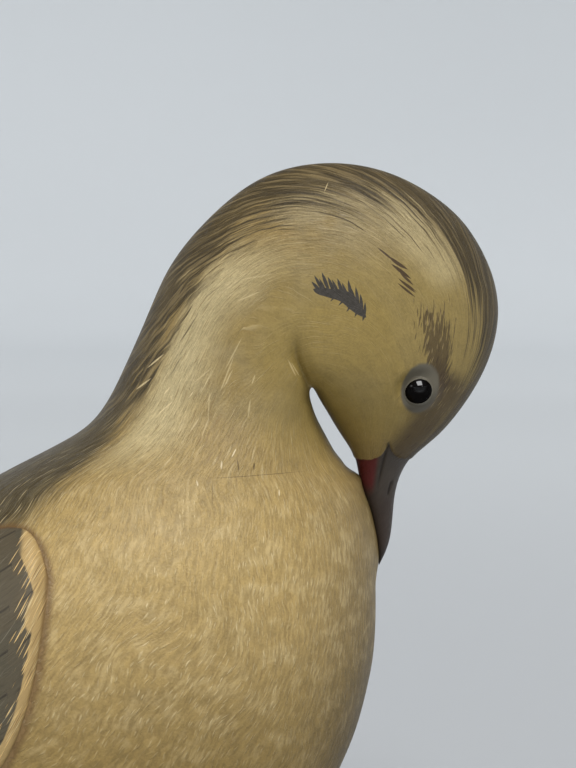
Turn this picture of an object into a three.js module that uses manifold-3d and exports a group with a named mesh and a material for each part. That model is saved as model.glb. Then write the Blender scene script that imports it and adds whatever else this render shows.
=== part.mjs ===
// A carved and painted wooden dove, life size, with its head tucked and its bill on its breast.
// Millimetres, +X where the breast points, +Y the bird's left, +Z up.
// The origin is the middle of the flat underside that the dove stands on.

import * as THREE from "three";
import { mergeVertices } from "three/addons/utils/BufferGeometryUtils.js";
import Module from "manifold-3d";

// Driving dimensions of the carving.
const EYE_AT = [73.6, 95.1]; // middle of the eye, along X and Z
const EYE_RADIUS = 2.5;
const EYE_SHOWS = 1.15; // how far the glass stands out of the head
const EYE_ROOM = 0.3; // space between the glass and its socket
const EYE_STRETCH = [0.4, 0.85]; // the shares along the head that the eye lies between
const SEAT_GAP = 0.3; // glue joint between the neck and the body
const SECTION_POWER = 2.15; // 2 is an ellipse, more is squarer
const LEAST_HALF = 0.05; // a narrower section is a single point

// The neck, head and bill, from the neck seat to the bill's tip. Each station is a flat section across
// the bird: its point on the back line, its point on the throat line and its half width.
// lean moves the widest place towards the throat, and away from it where it is negative.
// fold squares the throat side of the section, where the cheek is folded on the neck.
const HEAD = [
  { at: "seat", back: [13.5, 83.4], front: [63.0, 83.4], half: 20.8, lean: -0.1, fold: 0 },
  { at: "neck foot", back: [19.1, 86.3], front: [61.7, 85.1], half: 19.2, lean: -0.06, fold: 0 },
  { at: "lower neck", back: [24.0, 89.6], front: [60.3, 87.6], half: 17.0, lean: 0, fold: 0.1 },
  { at: "middle neck", back: [27.2, 93.9], front: [59.0, 90.0], half: 15.2, lean: 0.04, fold: 0.4 },
  { at: "upper neck", back: [29.7, 99.1], front: [58.2, 92.0], half: 14.2, lean: 0.06, fold: 1.0 },
  { at: "nape foot", back: [32.5, 105.3], front: [57.8, 93.4], half: 13.4, lean: 0.08, fold: 1.8 },
  { at: "nape", back: [35.9, 112.9], front: [57.7, 94.4], half: 13.0, lean: 0.1, fold: 2.6 },
  { at: "nape top", back: [41.6, 120.2], front: [57.8, 95.0], half: 12.8, lean: 0.12, fold: 3.0 },
  { at: "hind crown", back: [50.8, 127.3], front: [58.0, 95.2], half: 12.7, lean: 0.14, fold: 3.0 },
  { at: "crown", back: [62.5, 129.5], front: [58.3, 95.0], half: 12.7, lean: 0.16, fold: 2.6 },
  { at: "fore crown", back: [74.0, 126.3], front: [58.8, 94.3], half: 12.6, lean: 0.18, fold: 1.8 },
  { at: "brow", back: [82.5, 119.2], front: [59.6, 92.9], half: 12.3, lean: 0.2, fold: 1.0 },
  { at: "forehead", back: [86.8, 109.2], front: [60.7, 91.1], half: 11.6, lean: 0.2, fold: 0.4 },
  { at: "lower forehead", back: [86.2, 101.2], front: [61.8, 89.3], half: 10.4, lean: 0.18, fold: 0.1 },
  { at: "lores", back: [82.6, 93.6], front: [63.2, 87.2], half: 8.4, lean: 0.14, fold: 0 },
  { at: "bill feathers", back: [77.6, 87.6], front: [64.6, 84.9], half: 5.8, lean: 0.08, fold: 0 },
  { at: "bill foot", back: [73.3, 83.6], front: [65.3, 82.6], half: 3.7, lean: 0.04, fold: 0 },
  { at: "nostril", back: [71.5, 79.8], front: [65.8, 80.1], half: 2.8, lean: 0, fold: 0 },
  { at: "bill", back: [70.9, 75.8], front: [66.9, 76.6], half: 2.4, lean: 0, fold: 0 },
  { at: "bill end", back: [70.4, 71.4], front: [68.0, 72.3], half: 1.9, lean: 0, fold: 0 },
  { at: "hook", back: [69.6, 68.9], front: [68.5, 69.2], half: 1.2, lean: 0, fold: 0 },
  { at: "tip", back: [68.7, 67.0], front: [68.7, 67.0], half: 0, lean: 0, fold: 0 },
];

// The body, from the neck seat round the breast and belly to the rump.
const BODY = [
  { at: "seat", back: [13.5, 83.4], front: [63.0, 83.4], half: 20.8, lean: -0.1, fold: 0 },
  { at: "mantle", back: [8.4, 80.7], front: [66.4, 76.6], half: 23.4, lean: -0.1, fold: 0 },
  { at: "high breast", back: [6.4, 79.4], front: [67.8, 69.8], half: 25.6, lean: -0.1, fold: 0 },
  { at: "breast", back: [3.9, 78.1], front: [68.2, 60.4], half: 28.0, lean: -0.08, fold: 0 },
  { at: "low breast", back: [0.2, 76.2], front: [66.8, 48.4], half: 30.5, lean: -0.06, fold: 0 },
  { at: "breast turn", back: [-5.0, 73.6], front: [62.7, 36.4], half: 32.2, lean: -0.04, fold: 0 },
  { at: "belly front", back: [-10.9, 70.9], front: [55.8, 22.8], half: 33.2, lean: -0.02, fold: 0 },
  { at: "fore belly", back: [-16.9, 68.2], front: [46.2, 9.8], half: 33.6, lean: 0, fold: 0 },
  { at: "belly", back: [-22.9, 65.6], front: [33.0, 0.2], half: 33.6, lean: 0, fold: 0 },
  { at: "hind belly", back: [-30.0, 62.8], front: [15.5, -5.6], half: 33.0, lean: 0, fold: 0 },
  { at: "vent front", back: [-39.3, 59.4], front: [-5.0, -6.6], half: 31.6, lean: 0, fold: 0 },
  { at: "vent", back: [-50.6, 55.6], front: [-27.0, -2.6], half: 29.0, lean: 0, fold: 0 },
  { at: "hind flank", back: [-62.8, 51.8], front: [-46.5, 5.4], half: 25.4, lean: 0, fold: 0 },
  { at: "rump", back: [-76.3, 47.5], front: [-66.0, 14.0], half: 20.8, lean: 0, fold: 0 },
  { at: "hind rump", back: [-89.8, 43.2], front: [-85.0, 21.8], half: 15.6, lean: 0, fold: 0 },
  { at: "tail root", back: [-103.0, 39.0], front: [-101.0, 28.3], half: 10.0, lean: 0, fold: 0 },
  { at: "end", back: [-111.0, 34.6], front: [-111.0, 34.6], half: 0, lean: 0, fold: 0 },
];

// A folded wing: a bent blade let into the flank. Each station has its middle, its half width up the
// flank, its half thickness and its tilt, in degrees from flat on the back to upright on the flank.
// up and low are the radii that the blade is bent to above and below its middle.
const WING = [
  { at: "nose", x: 20.7, y: 28.0, z: 67.6, half: 0, thick: 0, tilt: 72, up: 27, low: 70 },
  { at: "wrist front", x: 18.6, y: 29.3, z: 65.4, half: 9.5, thick: 2.2, tilt: 73, up: 27, low: 70 },
  { at: "wrist", x: 14.0, y: 29.9, z: 62.0, half: 17.2, thick: 2.8, tilt: 74, up: 27, low: 80 },
  { at: "shoulder", x: 0.0, y: 28.8, z: 57.2, half: 19.8, thick: 3.0, tilt: 69, up: 27, low: 60 },
  { at: "coverts", x: -20.0, y: 27.9, z: 48.6, half: 19.4, thick: 2.9, tilt: 63, up: 36, low: 38 },
  { at: "flight feathers", x: -45.0, y: 24.3, z: 43.7, half: 17.2, thick: 2.8, tilt: 61, up: 32, low: 32 },
  { at: "hind wing", x: -70.0, y: 17.3, z: 42.1, half: 13.4, thick: 2.6, tilt: 54, up: 27, low: 30 },
  { at: "primaries", x: -95.0, y: 10.6, z: 40.3, half: 9.6, thick: 2.3, tilt: 42, up: 30, low: 40 },
  { at: "wing end", x: -120.0, y: 6.8, z: 37.2, half: 6.2, thick: 1.9, tilt: 25, up: 40, low: 60 },
  { at: "wing tip", x: -141.0, y: 3.8, z: 32.8, half: 0, thick: 0, tilt: 20, up: 40, low: 60 },
];
const WING_POWER = 3; // squarer than the trunk, so that the edges of the wing stand out

// The closed tail: flat slabs of feathers in steps, the middle ones longest, on one drooping line.
const TAIL_LINE = [
  { at: "root", x: -70.0, z: 34.0, thick: 4.6 },
  { at: "covert end", x: -105.0, z: 32.6, thick: 3.8 },
  { at: "middle", x: -140.0, z: 27.0, thick: 2.9 },
  { at: "end", x: -190.5, z: 18.0, thick: 2.0 },
];
const TAIL_STEPS = [
  { at: "middle feathers", end: -190.5, half: 5.4, drop: 0 },
  { at: "inner feathers", end: -178.0, half: 9.6, drop: 0.5 },
  { at: "outer feathers", end: -163.0, half: 13.6, drop: 1.0 },
];
const TAIL_TIP = 14; // how long the rounded end of a step is
const TAIL_DOME = 0.12; // how far the edges of the tail droop, as a share of their distance out

// The crease between the cheek and the neck: a soft groove from the throat up the side.
const CREASE = { from: [58.2, 94.3], to: [54.2, 105.5], deep: 1.3, wide: 1.7 };

// How finely the solids are faceted: sections along, points round.
const HEAD_FACETS = { along: 52, round: 30 };
const BODY_FACETS = { along: 36, round: 36 };
const WING_FACETS = { along: 20, round: 18 };
const TAIL_FACETS = { along: 12, round: 12 };
const EYE_FACETS = { round: 16, high: 10 };
const WELD = 1e-4;

const wasm = await Module();
wasm.setup();

// A smooth curve through rows of numbers: the natural cubic spline over their distance apart.
function curveThrough(rows, distance) {
  const knots = [0];
  for (let i = 1; i < rows.length; i++) knots.push(knots[i - 1] + distance(rows[i - 1], rows[i]));
  const last = rows.length - 1;
  const bends = rows[0].map((_, column) => {
    const bend = new Array(rows.length).fill(0);
    const carry = new Array(rows.length).fill(0);
    for (let i = 1; i < last; i++) {
      const before = knots[i] - knots[i - 1];
      const after = knots[i + 1] - knots[i];
      const rise = (rows[i + 1][column] - rows[i][column]) / after;
      const run = (rows[i][column] - rows[i - 1][column]) / before;
      const pivot = 2 * (before + after) - before * carry[i - 1];
      carry[i] = after / pivot;
      bend[i] = (6 * (rise - run) - before * bend[i - 1]) / pivot;
    }
    for (let i = last - 1; i > 0; i--) bend[i] -= carry[i] * bend[i + 1];
    return bend;
  });
  return (share) => {
    const at = share * knots[last];
    let i = 1;
    while (i < last && at > knots[i]) i++;
    const span = knots[i] - knots[i - 1];
    const b = (at - knots[i - 1]) / span;
    const a = 1 - b;
    return rows[0].map(
      (_, column) =>
        a * rows[i - 1][column] +
        b * rows[i][column] +
        (((a ** 3 - a) * bends[column][i - 1] + (b ** 3 - b) * bends[column][i]) * span ** 2) / 6,
    );
  };
}

// A closed shell over rings of points. A ring of one point is a pole, any other end ring gets a flat cap.
function shell(rings) {
  const points = [];
  const faces = [];
  const starts = rings.map((ring) => points.push(...ring) - ring.length);
  const corner = (i, j) => starts[i] + (j % rings[i].length);
  const band = (i) => {
    const round = Math.max(rings[i].length, rings[i + 1].length);
    for (let j = 0; j < round; j++) {
      const [a, b] = [corner(i, j), corner(i, j + 1)];
      const [c, d] = [corner(i + 1, j), corner(i + 1, j + 1)];
      if (a !== b) faces.push(a, c, b);
      if (c !== d) faces.push(b, c, d);
    }
  };
  for (let i = 0; i + 1 < rings.length; i++) band(i);
  const cap = (i, turned) => {
    if (rings[i].length === 1) return;
    const middle = rings[i].reduce((sum, p) => sum.add(p), new THREE.Vector3()).divideScalar(rings[i].length);
    points.push(middle);
    rings[i].forEach((_, j) => {
      const edge = [corner(i, j), corner(i, j + 1)];
      faces.push(points.length - 1, ...(turned ? edge.reverse() : edge));
    });
  };
  cap(0, false);
  cap(rings.length - 1, true);
  const geometry = new THREE.BufferGeometry().setFromPoints(points);
  geometry.setIndex(faces);
  return geometry;
}

function solid(geometry) {
  geometry.deleteAttribute("normal");
  geometry.deleteAttribute("uv");
  const merged = mergeVertices(geometry, WELD);
  const made = new wasm.Manifold(
    new wasm.Mesh({
      numProp: 3,
      vertProperties: merged.attributes.position.array,
      triVerts: new Uint32Array(merged.index.array),
    }),
  );
  if (made.volume() > 0) return made;
  const turned = merged.index.array;
  for (let i = 0; i < turned.length; i += 3) [turned[i], turned[i + 1]] = [turned[i + 1], turned[i]];
  return solid(merged);
}

// The point of a superellipse at an angle: its share across and its share outwards.
function round(angle, power = SECTION_POWER) {
  const c = Math.cos(angle);
  const s = Math.sin(angle);
  return [Math.sign(c) * Math.abs(c) ** (2 / power), Math.sign(s) * Math.abs(s) ** (2 / power)];
}

// How far the crease sinks the side of the head at a place in side view.
function creaseAt(x, z) {
  const { from, to, deep, wide } = CREASE;
  const along = [to[0] - from[0], to[1] - from[1]];
  const span = Math.hypot(...along);
  const share = ((x - from[0]) * along[0] + (z - from[1]) * along[1]) / span ** 2;
  const aside = ((x - from[0]) * along[1] - (z - from[1]) * along[0]) / span;
  const fade = THREE.MathUtils.smoothstep(1 - Math.abs(share), 0, 1);
  return deep * fade * Math.exp(-((aside / wide) ** 2));
}

// A ring of a station: from the back line round the right side to the front line and back up the left.
function section([backX, backZ, frontX, frontZ, half, lean, fold], count) {
  if (half < LEAST_HALF) return [new THREE.Vector3((backX + frontX) / 2, 0, (backZ + frontZ) / 2)];
  return Array.from({ length: count }, (_, j) => {
    const angle = (2 * Math.PI * j) / count;
    const [across, out] = round(angle, Math.cos(angle) < 0 ? SECTION_POWER + fold : SECTION_POWER);
    const share = (1 - across) / 2;
    const x = backX + (frontX - backX) * share;
    const z = backZ + (frontZ - backZ) * share;
    return new THREE.Vector3(x, -out * (half * (1 - lean * across) - creaseAt(x, z)), z);
  });
}

const stationRow = (s) => [...s.back, ...s.front, s.half, s.lean, s.fold];
const stationStep = (a, b) => Math.hypot(a[0] - b[0], a[1] - b[1]) + Math.hypot(a[2] - b[2], a[3] - b[3]);

function trunk(stations, facets) {
  const curve = curveThrough(stations.map(stationRow), stationStep);
  return Array.from({ length: facets.along + 1 }, (_, i) => section(curve(i / facets.along), facets.round));
}

// The half width of the head at a place in side view, found on the section that runs through it.
function headSide(x, z) {
  const curve = curveThrough(HEAD.map(stationRow), stationStep);
  const side = (share) => {
    const [backX, backZ, frontX, frontZ] = curve(share);
    return (frontX - backX) * (z - backZ) - (frontZ - backZ) * (x - backX);
  };
  let [low, high] = EYE_STRETCH;
  for (let i = 0; i < 40; i++) {
    const middle = (low + high) / 2;
    if (side(middle) > 0 === side(low) > 0) low = middle;
    else high = middle;
  }
  const [backX, backZ, frontX, frontZ, half, lean] = curve(low);
  const across = 1 - (2 * Math.hypot(x - backX, z - backZ)) / Math.hypot(frontX - backX, frontZ - backZ);
  return half * (1 - Math.abs(across) ** SECTION_POWER) ** (1 / SECTION_POWER) * (1 - lean * across);
}

const wingRow = (s) => [s.x, s.y, s.z, s.half, s.thick, s.tilt, s.up, s.low];
const wingStep = (a, b) => Math.hypot(a[0] - b[0], a[1] - b[1], a[2] - b[2]);

// A blade's share along it runs slower near its ends, so that they come out round.
const slowEnds = (share) => (1 - Math.cos(Math.PI * share)) / 2;

function wing(side) {
  const curve = curveThrough(WING.map(wingRow), wingStep);
  const rings = Array.from({ length: WING_FACETS.along + 1 }, (_, i) => {
    const [x, y, z, half, thick, tilt, up, low] = curve(slowEnds(i / WING_FACETS.along));
    if (i === 0 || i === WING_FACETS.along) return [new THREE.Vector3(x, side * y, z)];
    const lean = THREE.MathUtils.degToRad(tilt);
    return Array.from({ length: WING_FACETS.round }, (_, j) => {
      const [across, out] = round((2 * Math.PI * j) / WING_FACETS.round, WING_POWER);
      const radius = across > 0 ? up : low;
      const bend = (across * half) / radius;
      const reach = (radius + out * thick) * Math.sin(bend);
      const rise = (radius + out * thick) * Math.cos(bend) - radius;
      return new THREE.Vector3(
        x,
        side * (y - reach * Math.cos(lean) + rise * Math.sin(lean)),
        z + reach * Math.sin(lean) + rise * Math.cos(lean),
      );
    });
  });
  return solid(shell(rings));
}

function tailStep({ end, half, drop }) {
  const line = curveThrough(TAIL_LINE.map((s) => [s.x, s.z, s.thick]), (a, b) => a[0] - b[0]);
  const root = TAIL_LINE[0].x;
  const whole = TAIL_LINE.at(-1).x - root;
  const rings = Array.from({ length: TAIL_FACETS.along + 1 }, (_, i) => {
    const share = Math.sin((Math.PI / 2) * (i / TAIL_FACETS.along));
    const [x, z, thick] = line((share * (end - root)) / whole);
    if (i === TAIL_FACETS.along) return [new THREE.Vector3(x, 0, z - drop)];
    const inTip = Math.max(0, 1 - (x - end) / TAIL_TIP);
    const width = half * Math.sqrt(1 - inTip ** 2);
    return Array.from({ length: TAIL_FACETS.round }, (_, j) => {
      const [across, out] = round((2 * Math.PI * j) / TAIL_FACETS.round, WING_POWER);
      const y = across * width;
      return new THREE.Vector3(x, y, z - drop + out * thick - Math.abs(y) * TAIL_DOME);
    });
  });
  return solid(shell(rings));
}

function ball(radius, at) {
  const geometry = new THREE.SphereGeometry(radius, EYE_FACETS.round, EYE_FACETS.high);
  geometry.rotateX(Math.PI / 2);
  geometry.translate(...at);
  return solid(geometry);
}

function eyeCentre(side) {
  const [x, z] = EYE_AT;
  return [x, side * (headSide(x, z) + EYE_SHOWS - EYE_RADIUS), z];
}

// The body with its wings and tail, cut flat at the underside and at the neck seat.
function bodySolid() {
  let made = solid(shell(trunk(BODY, BODY_FACETS)));
  for (const side of [-1, 1]) made = made.add(wing(side));
  for (const step of TAIL_STEPS) made = made.add(tailStep(step));
  const seat = BODY[0].back[1] - SEAT_GAP;
  return made.trimByPlane([0, 0, 1], 0).trimByPlane([0, 0, -1], -seat);
}

function headSolid() {
  let made = solid(shell(trunk(HEAD, HEAD_FACETS)));
  for (const side of [-1, 1]) made = made.subtract(ball(EYE_RADIUS + EYE_ROOM, eyeCentre(side)));
  return made;
}

function meshOf(made) {
  const { numProp, numVert, vertProperties, triVerts } = made.getMesh();
  const positions = new Float32Array(numVert * 3);
  for (let i = 0; i < numVert; i++) positions.set(vertProperties.subarray(i * numProp, i * numProp + 3), i * 3);
  const geometry = new THREE.BufferGeometry();
  geometry.setAttribute("position", new THREE.BufferAttribute(positions, 3));
  geometry.setIndex(new THREE.BufferAttribute(triVerts, 1));
  geometry.computeVertexNormals();
  return geometry;
}

const paintedBody = new THREE.MeshStandardMaterial({ color: 0xa9925f, roughness: 0.45, metalness: 0 });
const paintedHead = new THREE.MeshStandardMaterial({ color: 0x8b7a4c, roughness: 0.4, metalness: 0 });
const blackGlass = new THREE.MeshStandardMaterial({ color: 0x030303, roughness: 0.04, metalness: 0 });

function piece(name, made, material) {
  const mesh = new THREE.Mesh(meshOf(made), material);
  mesh.name = name;
  return mesh;
}

const dove = new THREE.Group();
dove.add(piece("body", bodySolid(), paintedBody));
dove.add(piece("head", headSolid(), paintedHead));
dove.add(piece("eye_right", ball(EYE_RADIUS, eyeCentre(-1)), blackGlass));
dove.add(piece("eye_left", ball(EYE_RADIUS, eyeCentre(1)), blackGlass));

export default dove;
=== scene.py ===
"""A life-size carved and painted wooden dove, with its head tucked and its bill on its breast.

Tables are in millimetres, +X where the breast points, +Y the bird's left, +Z up.
"""

import math

import bmesh
import bpy
import numpy as np
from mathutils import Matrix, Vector
from mathutils.kdtree import KDTree


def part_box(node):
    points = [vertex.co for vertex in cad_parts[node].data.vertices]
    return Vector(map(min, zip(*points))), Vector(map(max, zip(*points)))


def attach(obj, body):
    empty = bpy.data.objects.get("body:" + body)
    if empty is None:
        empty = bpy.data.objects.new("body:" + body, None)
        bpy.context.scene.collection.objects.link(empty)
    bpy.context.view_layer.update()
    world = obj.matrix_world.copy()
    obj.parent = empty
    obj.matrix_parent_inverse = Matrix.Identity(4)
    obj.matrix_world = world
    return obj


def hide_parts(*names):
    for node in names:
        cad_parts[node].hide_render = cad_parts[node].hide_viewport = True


bl_info = {
    "name": "Carved dove",
    "version": (1, 0, 0),
    "blender": (4, 5, 0),
    "location": "3D View > Sidebar > Dove",
    "description": "Makes a carved and painted dove with glass eyes, and the stage it is seen on",
    "category": "Object",
}

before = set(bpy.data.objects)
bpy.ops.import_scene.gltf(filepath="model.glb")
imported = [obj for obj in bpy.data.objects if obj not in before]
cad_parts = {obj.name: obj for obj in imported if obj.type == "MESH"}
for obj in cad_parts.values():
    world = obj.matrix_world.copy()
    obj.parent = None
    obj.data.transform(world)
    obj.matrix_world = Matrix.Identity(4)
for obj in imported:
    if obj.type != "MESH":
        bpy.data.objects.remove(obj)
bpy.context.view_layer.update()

MM = 0.001

# The trunk from its hind end through the neck seat to the bill's tip. Each station is a flat section:
# back (x, z), throat (x, z), half width, lean of its widest place, squareness of its throat side.
TRUNK = [
    ("end", (-111.0, 34.6), (-111.0, 34.6), 0.0, 0.0, 0.0),
    ("tail root", (-103.0, 39.0), (-101.0, 28.3), 10.0, 0.0, 0.0),
    ("hind rump", (-89.8, 43.2), (-85.0, 21.8), 15.6, 0.0, 0.0),
    ("rump", (-76.3, 47.5), (-66.0, 14.0), 20.8, 0.0, 0.0),
    ("hind flank", (-62.8, 51.8), (-46.5, 5.4), 25.4, 0.0, 0.0),
    ("vent", (-50.6, 55.6), (-27.0, -2.6), 29.0, 0.0, 0.0),
    ("vent front", (-39.3, 59.4), (-5.0, -6.6), 31.6, 0.0, 0.0),
    ("hind belly", (-30.0, 62.8), (15.5, -5.6), 33.0, 0.0, 0.0),
    ("belly", (-22.9, 65.6), (33.0, 0.2), 33.6, 0.0, 0.0),
    ("fore belly", (-16.9, 68.2), (46.2, 9.8), 33.6, 0.0, 0.0),
    ("belly front", (-10.9, 70.9), (55.8, 22.8), 33.2, -0.02, 0.0),
    ("breast turn", (-5.0, 73.6), (62.7, 36.4), 32.2, -0.04, 0.0),
    ("low breast", (0.2, 76.2), (66.8, 48.4), 30.5, -0.06, 0.0),
    ("breast", (3.9, 78.1), (68.2, 60.4), 28.0, -0.08, 0.0),
    ("high breast", (6.4, 79.4), (67.8, 69.8), 25.6, -0.1, 0.0),
    ("mantle", (8.4, 80.7), (66.4, 76.6), 23.4, -0.1, 0.0),
    ("seat", (13.5, 83.4), (63.0, 83.4), 20.8, -0.1, 0.0),
    ("neck foot", (19.1, 86.3), (61.7, 85.1), 19.2, -0.06, 0.0),
    ("lower neck", (24.0, 89.6), (60.3, 87.6), 17.0, 0.0, 0.1),
    ("middle neck", (27.2, 93.9), (59.0, 90.0), 15.2, 0.04, 0.4),
    ("upper neck", (29.7, 99.1), (58.2, 92.0), 14.2, 0.06, 1.0),
    ("nape foot", (32.5, 105.3), (57.8, 93.4), 13.4, 0.08, 1.8),
    ("nape", (35.9, 112.9), (57.7, 94.4), 13.0, 0.1, 2.6),
    ("nape top", (41.6, 120.2), (57.8, 95.0), 12.8, 0.12, 3.0),
    ("hind crown", (50.8, 127.3), (58.0, 95.2), 12.7, 0.14, 3.0),
    ("crown", (62.5, 129.5), (58.3, 95.0), 12.7, 0.16, 2.6),
    ("fore crown", (74.0, 126.3), (58.8, 94.3), 12.6, 0.18, 1.8),
    ("brow", (82.5, 119.2), (59.6, 92.9), 12.3, 0.2, 1.0),
    ("forehead", (86.8, 109.2), (60.7, 91.1), 11.6, 0.2, 0.4),
    ("lower forehead", (86.2, 101.2), (61.8, 89.3), 10.4, 0.18, 0.1),
    ("lores", (82.6, 93.6), (63.2, 87.2), 8.4, 0.14, 0.0),
    ("bill feathers", (77.6, 87.6), (64.6, 84.9), 5.8, 0.08, 0.0),
    ("bill foot", (73.3, 83.6), (65.3, 82.6), 3.7, 0.04, 0.0),
    ("nostril", (71.5, 79.8), (65.8, 80.1), 2.8, 0.0, 0.0),
    ("bill", (70.9, 75.8), (66.9, 76.6), 2.4, 0.0, 0.0),
    ("bill end", (70.4, 71.4), (68.0, 72.3), 1.9, 0.0, 0.0),
    ("hook", (69.6, 68.9), (68.5, 69.2), 1.2, 0.0, 0.0),
    ("tip", (68.7, 67.0), (68.7, 67.0), 0.0, 0.0, 0.0),
]
TRUNK_POWER = 2.15  # 2 is an ellipse, more is squarer
GIRTH = 150.0  # the flow map's width round the trunk, which is its girth at the seat
SEAT = 83.4  # height of the flat joint where the neck is glued to the body
EYE_BOX = [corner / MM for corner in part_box("eye_right")]

# A folded wing, a bent blade let into the flank: middle (x, y, z), half width, half thickness, tilt in
# degrees from flat on the back to upright on the flank, and its bend above and below the middle.
WING = [
    ("nose", (20.7, 28.0, 68.8), 0.0, 0.0, 72, 27, 70),
    ("wrist front", (18.6, 29.3, 66.0), 9.5, 2.2, 73, 27, 70),
    ("wrist", (14.0, 29.9, 62.0), 17.2, 2.8, 74, 27, 80),
    ("shoulder", (0.0, 28.8, 57.2), 19.8, 3.0, 69, 27, 60),
    ("coverts", (-20.0, 27.9, 48.6), 19.4, 2.9, 63, 36, 38),
    ("flight feathers", (-45.0, 24.3, 43.7), 17.2, 2.8, 61, 32, 32),
    ("hind wing", (-70.0, 17.3, 42.1), 13.4, 2.6, 54, 27, 30),
    ("primaries", (-95.0, 10.6, 40.3), 9.6, 2.3, 42, 30, 40),
    ("wing end", (-120.0, 6.8, 37.2), 6.2, 1.9, 25, 40, 60),
    ("wing tip", (-141.0, 3.8, 32.8), 0.0, 0.0, 20, 40, 60),
]
BLADE_POWER = 3.0

# The closed tail: slabs of feathers in steps on one drooping line of (x, z, half thickness).
TAIL_LINE = [(-70.0, 34.0, 4.6), (-105.0, 32.6, 3.8), (-140.0, 27.0, 2.9), (-190.5, 18.0, 2.0)]
TAIL_STEPS = [("middle", -190.5, 5.4, 0.0), ("inner", -178.0, 9.6, 0.5), ("outer", -163.0, 13.6, 1.0)]
TAIL_TIP = 14.0
TAIL_DOME = 0.12

# Carved lines on the side of the head, as (x, z) points.
CREASE = [(57.8, 94.6), (56.7, 97.0), (55.4, 100.0), (55.0, 102.9), (54.8, 105.6)]
MOUTH = [(69.5, 87.0), (69.3, 85.6), (69.0, 84.0), (68.7, 82.3), (68.35, 80.3), (68.2, 77.5)]
NOSTRIL = [(70.45, 80.3), (69.95, 78.5)]
SLASHES = [  # dark strokes over the ear: start, end and width
    ((67.2, 116.6), (69.9, 114.4), 0.17),
    ((68.3, 115.5), (71.2, 113.8), 0.16),
    ((69.2, 114.8), (71.9, 113.2), 0.26),
    ((69.3, 114.1), (72.4, 111.8), 0.27),
    ((70.6, 112.8), (72.7, 110.9), 0.2),
    ((70.3, 112.0), (73.1, 109.7), 0.2),
    ((70.2, 111.3), (73.0, 109.1), 0.18),
    ((70.8, 111.7), (73.2, 109.9), 0.12),
]
EAR_HAIR = [  # spikes of the ear mark
    ((59.0, 109.8), (57.5, 111.5), 0.26),
    ((59.4, 109.8), (57.9, 112.4), 0.26),
    ((59.8, 109.6), (58.6, 112.0), 0.2),
    ((60.2, 109.7), (59.0, 112.9), 0.28),
    ((61.0, 109.5), (59.9, 112.2), 0.28),
    ((61.6, 109.4), (60.5, 111.8), 0.24),
    ((62.3, 109.0), (61.3, 112.0), 0.28),
    ((62.9, 108.8), (62.0, 111.3), 0.26),
    ((63.5, 108.3), (62.9, 111.8), 0.28),
    ((64.0, 107.9), (63.3, 110.6), 0.26),
    ((64.5, 107.4), (64.0, 110.8), 0.26),
    ((65.0, 106.7), (64.7, 109.7), 0.26),
    ((65.3, 106.0), (65.4, 108.5), 0.22),
    ((61.6, 109.9), (60.2, 108.5), 0.16),
    ((62.8, 109.3), (61.4, 107.9), 0.16),
    ((63.8, 108.6), (62.6, 107.0), 0.18),
    ((64.7, 108.0), (63.8, 106.2), 0.18),
    ((65.4, 107.2), (65.0, 105.6), 0.18),
]
NECK_HAIR = [  # the brightest strokes on the side of the neck, and a scratch on the crown
    ((60.3, 126.3), (59.6, 124.7), 0.08),
    ((33.1, 98.5), (35.8, 100.8), 0.13),
    ((31.4, 95.3), (33.9, 97.2), 0.13),
    ((35.1, 92.2), (37.2, 94.0), 0.12),
    ((35.7, 94.8), (36.8, 96.1), 0.1),
    ((39.2, 94.2), (40.4, 95.7), 0.1),
]
SOFT_NECK_HAIR = [
    ((39.8, 96.3), (43.0, 99.0), 0.12),
    ((40.9, 94.7), (43.3, 99.0), 0.12),
    ((39.6, 89.6), (41.2, 91.9), 0.13),
    ((42.3, 90.7), (42.5, 95.6), 0.1),
    ((43.9, 95.0), (46.2, 100.8), 0.12),
    ((44.6, 98.2), (47.4, 103.5), 0.12),
    ((48.7, 96.4), (49.2, 97.9), 0.13),
    ((48.1, 91.5), (48.5, 94.4), 0.13),
    ((43.3, 109.1), (47.0, 111.9), 0.13),
    ((47.0, 111.7), (51.9, 112.6), 0.12),
    ((46.4, 108.5), (50.2, 110.1), 0.12),
    ((54.0, 100.1), (55.3, 97.4), 0.14),
    ((54.5, 99.6), (55.9, 97.3), 0.1),
]
PALE_TUFTS = [  # pale clusters of strokes on the breast: middle (x, z), half width and half height
    (32.9, 71.9, 3.4, 1.2),
    (30.8, 66.8, 3.6, 1.3),
    (21.0, 63.3, 1.4, 2.0),
    (44.8, 76.1, 2.3, 1.0),
    (49.7, 72.7, 2.4, 1.7),
    (49.1, 67.4, 2.8, 1.3),
    (55.0, 68.2, 2.6, 1.1),
    (62.5, 71.2, 1.3, 1.9),
    (62.4, 65.1, 1.5, 1.6),
    (60.5, 60.8, 2.2, 0.8),
    (51.0, 59.1, 2.3, 1.2),
    (43.4, 54.7, 2.8, 0.8),
    (43.2, 50.3, 2.8, 0.9),
    (31.9, 51.1, 3.0, 1.0),
    (40.9, 45.6, 2.8, 0.8),
]
PALE_NICKS = [  # scratches down to the pale ground
    ((46.4, 87.4), (45.7, 86.1), 0.12),
    ((44.3, 85.8), (44.2, 84.5), 0.14),
    ((40.7, 83.2), (40.9, 82.3), 0.12),
    ((52.6, 81.4), (52.6, 80.4), 0.12),
]
DARK_NICKS = [
    ((46.5, 86.0), (46.8, 84.0), 0.12),
    ((49.0, 85.4), (48.9, 84.2), 0.16),
    ((43.0, 83.7), (42.9, 78.8), 0.05),
    ((42.6, 83.4), (50.5, 83.5), 0.06),
    ((46.0, 83.5), (57.0, 83.6), 0.06),
]
EAR_TOP = [(57.7, 110.4), (58.7, 110.7), (60.2, 110.5), (61.7, 110.4), (63.5, 109.7), (64.5, 108.5)]
EAR_TOP += [(65.3, 107.1), (65.6, 106.2)]
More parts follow.
